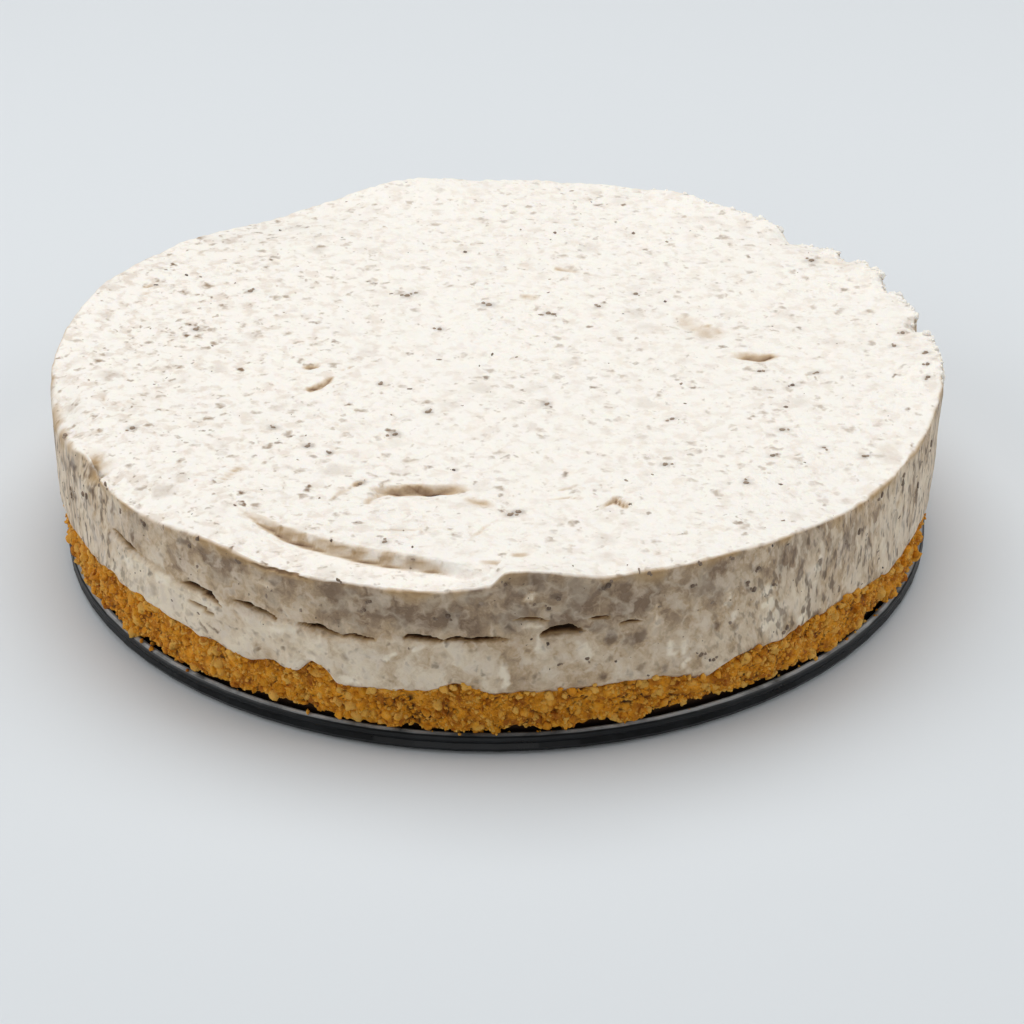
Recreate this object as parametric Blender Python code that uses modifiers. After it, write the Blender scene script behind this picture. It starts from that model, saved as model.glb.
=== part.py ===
"""Chocolate fleck cheesecake on the disc of a springform tin, in metres, +Z up.

The origin is the centre of the disc's underside, and the photographed front is -Y. Three pieces stack:
a pressed steel disc with a beaded lip, a base of biscuit crumbs, and a thick layer of cream filling.
The disc is turned from one profile. The filling is a round grid drawn out downwards, and the crumb base
is a stack of loops drawn out upwards, and both are shaped by the functions below.
"""

import math

import bmesh
import bpy
from mathutils import Vector, noise

MM = 0.001

# Driving sizes
CAKE_RADIUS = 101.0 * MM
CAKE_TOP = 42.2 * MM
BASE_TOP = 15.5 * MM
DISC_RADIUS = 100.2 * MM
LIP_HEIGHT = 4.7 * MM
SHEET_THICKNESS = 1.0 * MM
CLEARANCE = 0.3 * MM

# How finely the food is divided: the grid's cells along one side, so four times as many round the rim
GRID_CELLS = 42
RIM_STEPS = 4 * GRID_CELLS
DISC_STEPS = 72

# Slow rises and falls of the filling's top edge: (bearing, half width in degrees, rise, reach inwards).
# A bearing is 0 at the front and positive towards +X.
RIM_WAVES = (
    (-52.0, 22.0, -2.2 * MM, 16 * MM),
    (52.0, 30.0, -2.3 * MM, 24 * MM),
    (3.0, 11.0, 2.6 * MM, 9 * MM),
    (86.0, 8.0, 1.7 * MM, 14 * MM),
    (114.0, 7.0, 1.9 * MM, 10 * MM),
    (130.0, 8.0, -2.0 * MM, 12 * MM),
    (152.0, 7.0, 1.0 * MM, 14 * MM),
    (-168.0, 11.0, 1.2 * MM, 16 * MM),
    (-146.0, 18.0, -3.0 * MM, 22 * MM),
    (-108.0, 18.0, 1.7 * MM, 18 * MM),
)

# Bites torn from the edge as the tin's ring came off: (bearing, half width in degrees, depth, reach)
RIM_TEARS = (
    (99.0, 2.8, 3.6 * MM, 5 * MM),
    (110.5, 2.6, 2.8 * MM, 5 * MM),
    (122.0, 2.2, 1.8 * MM, 4 * MM),
    (132.5, 2.6, 2.6 * MM, 6 * MM),
    (-60.0, 2.6, 1.6 * MM, 5 * MM),
)

# Where the side leans outwards towards the top: (bearing, half width in degrees, lean)
LEANS = (
    (86.0, 34.0, 1.0 * MM),
    (-84.0, 24.0, 0.5 * MM),
)

# The shelf that a spoon pressed along the front edge
SHELF_FROM, SHELF_TO = -39.0, -1.0
SHELF_INNER_START = 85.5 * MM
SHELF_INNER_END = 92.4 * MM
SHELF_WALL = 1.6 * MM
SHELF_DEPTH = 2.6 * MM

# The scoop near the front: a dent with a steep far wall
SCOOP_PLACE = (-16.0 * MM, -60.5 * MM)
SCOOP_LENGTH = 26.0 * MM
SCOOP_WIDTH = 9.0 * MM
SCOOP_DEPTH = 2.0 * MM

# The join between filling and crumbs, where it shows at the side: (bearing, half width in degrees, rise)
JOIN_WAVES = (
    (-56.0, 28.0, 3.4 * MM),
    (-28.0, 3.6, 1.6 * MM),
    (-22.0, 3.4, 3.6 * MM),
    (-5.0, 4.0, 1.8 * MM),
    (25.5, 5.5, -2.8 * MM),
    (47.0, 13.0, 1.8 * MM),
    (140.0, 16.0, 1.5 * MM),
    (-120.0, 12.0, -1.4 * MM),
)
JOIN_ROUGHNESS = 0.8 * MM
JOIN_FLAT_RADIUS = 92.0 * MM

# The crumb base's side: it stands over the disc's lip, and is undercut where the lip was clamped
CRUMB_SIZE = 4.2 * MM
CRUMB_RELIEF = 1.5 * MM
OVERHANG_HEIGHT = 6.9 * MM
OVERHANG_RAGGEDNESS = 1.3 * MM
FOOT_RADIUS = 96.2 * MM

# The crack that runs round the front of the filling: (bearing, half width in degrees, height, depth)
CRACKS = (
    (-52.0, 4.0, 30.0 * MM, 1.3 * MM),
    (-38.5, 4.0, 28.2 * MM, 1.8 * MM),
    (-29.0, 3.5, 28.0 * MM, 1.5 * MM),
    (-19.5, 5.0, 27.8 * MM, 1.4 * MM),
    (-5.0, 7.0, 28.6 * MM, 2.2 * MM),
    (8.0, 3.5, 30.6 * MM, 3.0 * MM),
    (14.0, 3.5, 32.2 * MM, 1.2 * MM),
)
CRACK_HALF_HEIGHT = 1.9 * MM


def smooth_step(value):
    """0 below 0, 1 above 1, and a smooth rise between."""
    value = min(max(value, 0.0), 1.0)
    return value * value * (3.0 - 2.0 * value)


def bump(distance):
    """1 at 0, falling smoothly to 0 at a distance of 1 either way."""
    return smooth_step(1.0 - abs(distance))


def bearing_gap(bearing, centre):
    """Signed difference of two bearings, within half a turn."""
    return (bearing - centre + 180.0) % 360.0 - 180.0


def point_at(bearing, radius, height=0.0):
    """The point on that bearing, clockwise seen from below: 0 is -Y and 90 is +X."""
    angle = math.radians(bearing)
    return Vector((radius * math.sin(angle), -radius * math.cos(angle), height))


def polar(point):
    """(bearing in degrees, radius) of a point."""
    return math.degrees(math.atan2(point.x, -point.y)), math.hypot(point.x, point.y)


def grain(point, size, seed):
    """Smooth noise from about -1 to 1, with bumps of the given size."""
    return noise.noise(point / size + Vector((seed, 2.3 * seed, -1.7 * seed)))


def shelf_drop(bearing, radius):
    """How far the pressed shelf lies below the rest of the top."""
    along = (bearing - SHELF_FROM) / (SHELF_TO - SHELF_FROM)
    if not 0.0 < along < 1.0:
        return 0.0
    inner = SHELF_INNER_START + (SHELF_INNER_END - SHELF_INNER_START) * along**0.6
    ends = smooth_step(along / 0.3) * smooth_step((1.0 - along) / 0.07)
    return SHELF_DEPTH * ends * smooth_step((radius - inner) / SHELF_WALL)


def scoop_drop(x, y):
    """How deep the scoop is: steep on its far side, and gentle on the near one."""
    along = (x - SCOOP_PLACE[0]) / (SCOOP_LENGTH / 2)
    across = (y - SCOOP_PLACE[1]) / SCOOP_WIDTH
    if abs(along) >= 1.0 or not -1.0 < across < 0.25:
        return 0.0
    shape = smooth_step(1.0 - across / 0.25) if across > 0.0 else smooth_step(1.0 + across)
    return SCOOP_DEPTH * (1.0 - along * along) * shape


def top_height(x, y):
    """Height of the filling's top surface."""
    bearing, radius = polar(Vector((x, y)))
    height = CAKE_TOP + 0.5 * MM * grain(Vector((x, y, 0.0)), 34 * MM, 3.1)
    for centre, half_width, rise, reach in RIM_WAVES:
        inwards = 1.0 - (CAKE_RADIUS - radius) / reach
        height += rise * bump(bearing_gap(bearing, centre) / half_width) * smooth_step(inwards)
    for centre, half_width, depth, reach in RIM_TEARS:
        inwards = 1.0 - (CAKE_RADIUS - radius) / reach
        height -= depth * bump(bearing_gap(bearing, centre) / half_width) * smooth_step(inwards)
    return height - shelf_drop(bearing, radius) - scoop_drop(x, y)


def join_height(bearing, radius):
    """Height of the crumb base's top: flat in the middle, and rising and falling towards the side."""
    edge = BASE_TOP + JOIN_ROUGHNESS * grain(point_at(bearing, CAKE_RADIUS), 9 * MM, 5.3)
    for centre, half_width, rise in JOIN_WAVES:
        edge += rise * bump(bearing_gap(bearing, centre) / half_width)
    outwards = (radius - JOIN_FLAT_RADIUS) / (CAKE_RADIUS - JOIN_FLAT_RADIUS)
    return BASE_TOP + (edge - BASE_TOP) * max(outwards, 0.0)


def filling_radius(bearing, height):
    """Radius of the filling's side: nearly upright, with slow bulges, cracks and torn bites."""
    point = point_at(bearing, CAKE_RADIUS, height)
    radius = CAKE_RADIUS + 0.45 * MM * grain(point, 22 * MM, 7.7) + 0.25 * MM * grain(point, 7 * MM, 1.9)
    rise = smooth_step((height - BASE_TOP) / (24 * MM))
    for centre, half_width, lean in LEANS:
        radius += lean * rise * bump(bearing_gap(bearing, centre) / half_width)
    for centre, half_width, level, depth in CRACKS:
        along = bump(bearing_gap(bearing, centre) / half_width)
        radius -= depth * along * bump((height - level) / CRACK_HALF_HEIGHT)
    for centre, half_width, depth, _ in RIM_TEARS:
        near_top = smooth_step((height - CAKE_TOP + 12 * MM) / (12 * MM))
        radius -= 0.7 * depth * bump(bearing_gap(bearing, centre) / half_width) * near_top
    return radius


def crumb_radius(bearing, height):
    """Radius of the crumb base's side above the disc's lip, in lumps the size of crumbs."""
    point = point_at(bearing, CAKE_RADIUS, height)
    nearest = noise.voronoi(point / CRUMB_SIZE)[0][0]
    lumps = 0.45 - nearest + 0.35 * grain(point, 11 * MM, 4.4)
    return CAKE_RADIUS - 0.9 * MM + CRUMB_RELIEF * lumps


def crumb_edge(bearing):
    """The point on that bearing where the crumb base's top meets its side."""
    radius = crumb_radius(bearing, join_height(bearing, CAKE_RADIUS)) - 0.4 * MM
    radius = min(radius, CAKE_RADIUS - 0.9 * MM)
    return point_at(bearing, radius, join_height(bearing, radius))


def crumb_middle(bearing):
    """The point on that bearing where the flat middle of the crumb base's top begins."""
    return point_at(bearing, JOIN_FLAT_RADIUS, BASE_TOP)


def ragged_height(bearing):
    """Height of the crumb base's overhanging lower edge."""
    point = point_at(bearing, CAKE_RADIUS)
    return OVERHANG_HEIGHT + OVERHANG_RAGGEDNESS * grain(point, 7 * MM, 9.1)


def food_material(name, colour, roughness):
    """A matt or satin material of one colour."""
    made = bpy.data.materials.new(name)
    made.use_nodes = True
    shader = made.node_tree.nodes["Principled BSDF"]
    shader.inputs["Base Color"].default_value = (*colour, 1.0)
    shader.inputs["Roughness"].default_value = roughness
    made.diffuse_color = (*colour, 1.0)
    return made


def coated_steel():
    """The dark non-stick coating of the disc."""
    made = food_material("non_stick_coating", (0.016, 0.018, 0.02), 0.38)
    made.node_tree.nodes["Principled BSDF"].inputs["Metallic"].default_value = 0.35
    return made


def add_piece(name, mesh, material, collection):
    """Puts a mesh in the collection as a named object with its material."""
    mesh.materials.append(material)
    made = bpy.data.objects.new(name, mesh)
    collection.objects.link(made)
    return made


def bead_points(centre_radius, centre_height, bead_radius, steps):
    """The rolled bead's outline, from its outer side over the top to its inner side."""
    for step in range(steps + 1):
        angle = math.pi * step / steps
        yield centre_radius + bead_radius * math.cos(angle), centre_height + bead_radius * math.sin(angle)


def disc_profile():
    """The disc's section as (radius, height), from the axis below, round the lip, to the axis above."""
    bead_radius = 1.15 * MM
    bead_centre = DISC_RADIUS - bead_radius
    profile = [
        (0.0, 0.0),
        (DISC_RADIUS - 2.6 * MM, 0.0),
        (DISC_RADIUS - 0.7 * MM, 0.5 * MM),
        (DISC_RADIUS - 0.1 * MM, 1.5 * MM),
        (DISC_RADIUS - 0.5 * MM, 2.5 * MM),
    ]
    profile += bead_points(bead_centre, LIP_HEIGHT - bead_radius, bead_radius, 6)
    profile += [
        (bead_centre - bead_radius + 0.2 * MM, 2.2 * MM),
        (DISC_RADIUS - 3.1 * MM, SHEET_THICKNESS),
        (0.0, SHEET_THICKNESS),
    ]
    return profile


def tin_disc(collection):
    """The pressed steel disc of the springform tin, turned from its profile."""
    mesh = bpy.data.meshes.new("tin_disc")
    points = [(radius, 0.0, height) for radius, height in reversed(disc_profile())]
    edges = [(i, i + 1) for i in range(len(points) - 1)]
    mesh.from_pydata(points, edges, [])
    made = add_piece("tin_disc", mesh, coated_steel(), collection)
    turn = made.modifiers.new("turn", "SCREW")
    turn.steps = DISC_STEPS
    turn.render_steps = DISC_STEPS
    turn.use_merge_vertices = True
    turn.merge_threshold = 0.0001
    turn.use_smooth_shade = True
    return made


def to_disc(u, v):
    """Maps the square from -1 to 1 on to the unit disc, with cells of equal area and an even rim."""
    if u == 0.0 and v == 0.0:
        return 0.0, 0.0
    if abs(u) > abs(v):
        radius, angle = u, math.pi / 4 * v / u
    else:
        radius, angle = v, math.pi / 2 - math.pi / 4 * u / v
    return radius * math.cos(angle), radius * math.sin(angle)


def draw_out(bm, edges, place):
    """Draws a closed loop of edges out to a new loop, whose points place(bearing) gives."""
    made = bmesh.ops.extrude_edge_only(bm, edges=edges)["geom"]
    for vert in (item for item in made if isinstance(item, bmesh.types.BMVert)):
        bearing, _ = polar(vert.co)
        vert.co = place(bearing)
    return [item for item in made if isinstance(item, bmesh.types.BMEdge)]


def finished_mesh(name, bm):
    """Turns a closed surface into a mesh whose faces point out, split alike where two pieces meet."""
    bmesh.ops.triangulate(bm, faces=bm.faces, quad_method="SHORT_EDGE", ngon_method="BEAUTY")
    bmesh.ops.recalc_face_normals(bm, faces=bm.faces)
    mesh = bpy.data.meshes.new(name)
    bm.to_mesh(mesh)
    bm.free()
    mesh.shade_smooth()
    mesh.set_sharp_from_angle(angle=math.radians(50))
    return mesh


def cream_filling(collection):
    """The set filling: a round grid for its top, drawn down its side to the join with the crumbs."""
    bm = bmesh.new()
    bmesh.ops.create_grid(bm, x_segments=GRID_CELLS, y_segments=GRID_CELLS, size=1.0)
    rim = [edge for edge in bm.edges if edge.is_boundary]
    for vert in bm.verts:
        x, y = (CAKE_RADIUS * part for part in to_disc(vert.co.x, vert.co.y))
        vert.co = Vector((x, y, top_height(x, y)))
    for vert in {vert for edge in rim for vert in edge.verts}:
        bearing, _ = polar(vert.co)
        edge_radius = filling_radius(bearing, vert.co.z) - 0.5 * MM
        vert.co = point_at(bearing, edge_radius, vert.co.z)

    def foot(bearing):
        """The loop that meets the crumbs at the side."""
        radius = filling_radius(bearing, join_height(bearing, CAKE_RADIUS))
        return point_at(bearing, radius, join_height(bearing, radius) + CLEARANCE)

    def side(share):
        """The loop that lies this share of the way down the side."""

        def place(bearing):
            rim_point = point_at(bearing, CAKE_RADIUS)
            high = top_height(rim_point.x, rim_point.y)
            height = high + (foot(bearing).z - high) * share
            return point_at(bearing, filling_radius(bearing, height), height)

        return place

    def above(place):
        """A loop of the crumb base's top, raised by the clearance."""
        return lambda bearing: place(bearing) + Vector((0.0, 0.0, CLEARANCE))

    edges = rim
    loops = [side(share) for share in (0.03, 0.14, 0.26, 0.38, 0.46, 0.54, 0.64, 0.76, 0.88)]
    loops += [foot, above(crumb_edge), above(crumb_middle)]
    for place in loops:
        edges = draw_out(bm, edges, place)
    bmesh.ops.edgeloop_fill(bm, edges=edges)
    material = food_material("fleck_cream", (0.80, 0.75, 0.67), 0.5)
    return add_piece("cream_filling", finished_mesh("cream_filling", bm), material, collection)


def crumb_base(collection):
    """The base of pressed biscuit crumbs: it fills the disc inside its lip, and overhangs it above."""
    bm = bmesh.new()
    made = bmesh.ops.create_circle(bm, cap_ends=True, segments=RIM_STEPS, radius=FOOT_RADIUS)
    for vert in made["verts"]:
        vert.co.z = SHEET_THICKNESS + CLEARANCE
    edges = [edge for edge in bm.edges if edge.is_boundary]

    def foot(height, spread):
        """A loop inside the lip."""
        return lambda bearing: point_at(bearing, FOOT_RADIUS + spread, height)

    def overhang(bearing):
        """The ragged lower edge that hangs over the lip."""
        height = ragged_height(bearing)
        return point_at(bearing, crumb_radius(bearing, height) - 0.8 * MM, height)

    def side(share):
        """A loop on the crumbly side, this share of the way from the ragged edge to the join."""

        def place(bearing):
            low = ragged_height(bearing)
            height = low + (join_height(bearing, CAKE_RADIUS) - low) * share
            return point_at(bearing, crumb_radius(bearing, height), height)

        return place

    loops = [foot(4.0 * MM, 0.4 * MM), foot(5.3 * MM, 1.4 * MM), overhang]
    loops += [side(share) for share in (0.12, 0.34, 0.56, 0.78)]
    loops += [crumb_edge, crumb_middle]
    for place in loops:
        edges = draw_out(bm, edges, place)
    bmesh.ops.edgeloop_fill(bm, edges=edges)
    material = food_material("biscuit_crumb", (0.50, 0.26, 0.065), 0.85)
    return add_piece("crumb_base", finished_mesh("crumb_base", bm), material, collection)


def clear_scene():
    """Removes what the scene starts with."""
    for obj in list(bpy.data.objects):
        bpy.data.objects.remove(obj, do_unlink=True)


def main():
    """Builds the cheesecake in a collection of its own."""
    clear_scene()
    collection = bpy.data.collections.new("chocolate_fleck_cheesecake")
    bpy.context.scene.collection.children.link(collection)
    tin_disc(collection)
    crumb_base(collection)
    cream_filling(collection)


main()
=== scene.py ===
"""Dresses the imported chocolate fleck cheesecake: cream, chocolate flecks, biscuit crumbs and coated tin.

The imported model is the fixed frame. The cream filling and the crumb base are built again here from the same
driving sizes with finer relief, and stand for their CAD nodes. The tin's disc stays as packed and gets its
coating. Everything is in metres, +Z up, and the front of the cake is -Y. A bearing is an angle in degrees
round the cake, 0 at the front and positive towards +X.
"""

import logging
import math
from collections.abc import Sequence
from dataclasses import dataclass, replace
from enum import Enum

import bpy
import numpy as np
from mathutils import Matrix, Vector, noise


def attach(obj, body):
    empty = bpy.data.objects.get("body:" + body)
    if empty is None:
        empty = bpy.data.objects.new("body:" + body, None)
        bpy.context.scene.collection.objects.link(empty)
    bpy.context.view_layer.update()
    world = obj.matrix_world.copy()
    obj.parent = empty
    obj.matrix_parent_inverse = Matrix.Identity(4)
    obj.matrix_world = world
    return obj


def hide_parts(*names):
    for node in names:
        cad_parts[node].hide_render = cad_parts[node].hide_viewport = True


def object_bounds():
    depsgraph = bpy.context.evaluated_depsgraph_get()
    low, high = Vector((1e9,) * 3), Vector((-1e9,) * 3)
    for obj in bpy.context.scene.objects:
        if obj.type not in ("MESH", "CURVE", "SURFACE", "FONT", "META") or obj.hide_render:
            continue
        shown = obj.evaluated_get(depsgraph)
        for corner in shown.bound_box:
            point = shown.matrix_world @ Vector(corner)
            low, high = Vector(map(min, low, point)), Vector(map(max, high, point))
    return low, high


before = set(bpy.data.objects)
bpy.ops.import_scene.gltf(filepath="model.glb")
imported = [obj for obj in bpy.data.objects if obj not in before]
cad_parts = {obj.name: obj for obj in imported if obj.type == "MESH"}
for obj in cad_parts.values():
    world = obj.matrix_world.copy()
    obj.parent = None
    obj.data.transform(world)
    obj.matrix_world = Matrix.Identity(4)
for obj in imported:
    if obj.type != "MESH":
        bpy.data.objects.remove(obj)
CAD_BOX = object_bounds()

LOG = logging.getLogger("cheesecake")
MM = 0.001
RADIUS_MM = 101.0
TOP_MM = 42.2


class Part(Enum):
    """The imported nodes, whose names are also those of the record's material slots."""

    TIN = "tin_disc"
    CRUST = "crumb_base"
    CREAM = "cream_filling"


class Mark(Enum):
    """The named values that the meshes carry from point to point for their finishes and scatters."""

    SIDE = "side"
    HOLLOW = "hollow"
    FRESH = "fresh"
    DRAWN = "drawn"
    TONE = "tone"
    CREVICE = "crevice"
    TOP_COVER = "top_cover"
    SIDE_COVER = "side_cover"
    RIM_COVER = "rim_cover"
    CRUMB_COVER = "crumb_cover"
    SHADE = "shade"


# Small helpers


def linear(colour: str) -> tuple[float, float, float, float]:
    """Turns an sRGB hex colour to linear light.

    Args:
        colour: The colour as "#RRGGBB".

    Returns:
        Red, green, blue and an alpha of 1.
    """
    parts = [int(colour[start : start + 2], 16) / 255.0 for start in (1, 3, 5)]
    red, green, blue = (
        part / 12.92 if part <= 0.04045 else ((part + 0.055) / 1.055) ** 2.4
        for part in parts
    )
    return red, green, blue, 1.0


def fill_inputs(tree: bpy.types.NodeTree, node: bpy.types.Node, values: dict[str | int, object]) -> None:
    """Links or sets a node's inputs.

    Args:
        tree: The tree that the node is in.
        node: The node.
        values: For an input's name or number, a value to set, or the socket to link from. A node stands for
            the first of its outputs in use.
    """
    for key, value in values.items():
        if isinstance(value, bpy.types.Node):
            value = next(socket for socket in value.outputs if socket.enabled)
        if isinstance(value, bpy.types.NodeSocket):
            tree.links.new(value, node.inputs[key])
        else:
            node.inputs[key].default_value = value


def add_node(
    tree: bpy.types.NodeTree, kind: str, links: dict[str | int, object] | None = None, **settings: object
) -> bpy.types.Node:
    """Adds a node with its settings, and fills its inputs.

    Args:
        tree: The node tree that gets the node.
        kind: The node's Blender type name.
        links: What fill_inputs puts in its inputs.
        settings: The node's own properties.

    Returns:
        The new node.
    """
    node = tree.nodes.new(kind)
    for name, value in settings.items():
        setattr(node, name, value)
    fill_inputs(tree, node, links or {})
    return node


def new_material(name: str) -> tuple[bpy.types.Material, bpy.types.NodeTree, bpy.types.Node]:
    """Starts a node material.

    Args:
        name: The material's name.

    Returns:
        The material, its tree and its Principled shader node.
    """
    made = bpy.data.materials.new(name)
    made.use_nodes = True
    return made, made.node_tree, made.node_tree.nodes["Principled BSDF"]


def millimetres(tree: bpy.types.NodeTree) -> bpy.types.Node:
    """Adds nodes that give the surface point in the object's own millimetres.

    Args:
        tree: The material's tree.

    Returns:
        The node that gives the vector.
    """
    place = add_node(tree, "ShaderNodeTexCoord").outputs["Object"]
    return add_node(tree, "ShaderNodeVectorMath", {0: place, "Scale": 1000.0}, operation="SCALE")


def smooth_step(value: np.ndarray) -> np.ndarray:
    """0 below 0, 1 above 1, and a smooth rise between."""
    value = np.clip(value, 0.0, 1.0)
    return value * value * (3.0 - 2.0 * value)


def bump(distance: np.ndarray) -> np.ndarray:
    """1 at 0, falling smoothly to 0 at a distance of 1 either way."""
    return smooth_step(1.0 - np.abs(distance))


def bearing_gap(bearing: np.ndarray, centre: float) -> np.ndarray:
    """Signed difference of two bearings, within half a turn."""
    return (bearing - centre + 180.0) % 360.0 - 180.0


def swell(bearing: np.ndarray, centre: float, half_width: float) -> np.ndarray:
    """1 at one bearing, falling smoothly to 0 at half_width degrees on either side of it."""
    return bump(bearing_gap(bearing, centre) / half_width)


def bearing_of(points: np.ndarray) -> np.ndarray:
    """The bearing of each point, in degrees."""
    return np.degrees(np.arctan2(points[:, 0], -points[:, 1]))


def points_at(bearing: np.ndarray, radius: np.ndarray | float, height: np.ndarray | float) -> np.ndarray:
    """Turns bearings, radii and heights into points.

    Args:
        bearing: Degrees round the cake.
        radius: Distance from the axis, one for all or one for each.
        height: Height above the origin, one for all or one for each.

    Returns:
        One row of x, y and z for each bearing.
    """
    angle = np.radians(bearing)
    shape = np.ones_like(angle)
    return np.column_stack((radius * np.sin(angle), -radius * np.cos(angle), height * shape))


def grain(points: np.ndarray, size: float, seed: float) -> np.ndarray:
    """Smooth noise at points.

    Args:
        points: Rows of x, y and z.
        size: The size of the bumps.
        seed: Shifts the noise.

    Returns:
        A value from about -1 to 1 for each point.
    """
    shifted = points / size + np.array((seed, 2.3 * seed, -1.7 * seed))
    return np.array([noise.noise(place) for place in shifted.tolist()])


def cells(points: np.ndarray, size: float, seed: float = 0.0) -> tuple[np.ndarray, np.ndarray]:
    """Distances to the nearest seeds of a field of random cells.

    Args:
        points: Rows of x, y and z.
        size: The cells' size.
        seed: Shifts the field.

    Returns:
        The distance to the nearest seed and to the next one, in cells.
    """
    found = [noise.voronoi(place)[0] for place in (points / size + seed).tolist()]
    return np.array([item[0] for item in found]), np.array([item[1] for item in found])


def quads(*corners: np.ndarray) -> list[tuple[int, ...]]:
    """Makes faces with four corners.

    Args:
        corners: The points' numbers at the first corner of every face, at the second, and so on.

    Returns:
        The points' numbers of each face.
    """
    return list(zip(*(corner.tolist() for corner in corners)))


def stack_of_loops(loops: Sequence[np.ndarray], start: int) -> tuple[list[tuple[int, ...]], int]:
    """Joins closed loops of equal length, each below the one before, with faces that point outwards.

    Args:
        loops: The loops' points, from the top down, each anticlockwise seen from above.
        start: The number of the first loop's first point in the mesh.

    Returns:
        The faces, and the number of the last loop's first point.
    """
    steps = len(loops[0])
    ring = np.arange(steps)
    after = (ring + 1) % steps
    faces = []
    for row in range(len(loops) - 1):
        upper, lower = start + row * steps, start + (row + 1) * steps
        faces += quads(lower + ring, lower + after, upper + after, upper + ring)
    return faces, start + (len(loops) - 1) * steps


def linked(name: str, data: bpy.types.ID) -> bpy.types.Object:
    """Makes an object and links it to the scene.

    Args:
        name: The object's name.
        data: Its mesh, light or camera.

    Returns:
        The object.
    """
    made = bpy.data.objects.new(name, data)
    bpy.context.scene.collection.objects.link(made)
    return made


def inside_box(points: np.ndarray) -> np.ndarray:
    """Points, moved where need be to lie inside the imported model's box."""
    lowest, highest = (np.array(corner) for corner in CAD_BOX)
    return np.clip(points, lowest, highest)


def store(mesh: bpy.types.Mesh, name: str, values: np.ndarray) -> None:
    """Stores a number or a direction for each point of a mesh.

    Args:
        mesh: The mesh.
        name: What the values are called there.
        values: A number, or a row of x, y and z, for each point.
    """
    kind, field = ("FLOAT", "value") if values.ndim == 1 else ("FLOAT_VECTOR", "vector")
    stored = mesh.attributes.new(name, kind, "POINT")
    stored.data.foreach_set(field, np.ascontiguousarray(values, dtype=np.float32).ravel())


def make_piece(
    name: str,
    points: np.ndarray,
    faces: Sequence[Sequence[int]],
    marks: dict[Mark, np.ndarray],
    material: bpy.types.Material,
) -> bpy.types.Object:
    """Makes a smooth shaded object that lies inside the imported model's box.

    Args:
        name: The piece's name.
        points: Rows of x, y and z.
        faces: The points' numbers for each face.
        marks: Values for each point, stored on the mesh.
        material: The finish.

    Returns:
        The object, linked to the scene.
    """
    mesh = bpy.data.meshes.new(name)
    mesh.from_pydata(inside_box(points).tolist(), [], faces)
    for mark, values in marks.items():
        store(mesh, mark.value, values)
    mesh.shade_smooth()
    mesh.materials.append(material)
    return linked(name, mesh)


def hand_over(piece: bpy.types.Object, part: Part, replaces: bool = False) -> None:
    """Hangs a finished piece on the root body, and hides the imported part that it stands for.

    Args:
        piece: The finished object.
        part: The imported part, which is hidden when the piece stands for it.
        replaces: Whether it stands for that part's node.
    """
    if replaces:
        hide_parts(part.value)
    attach(piece, "root")
    piece.data.calc_loop_triangles()
    LOG.info("%s: %d triangles", piece.name, len(piece.data.loop_triangles))


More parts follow.
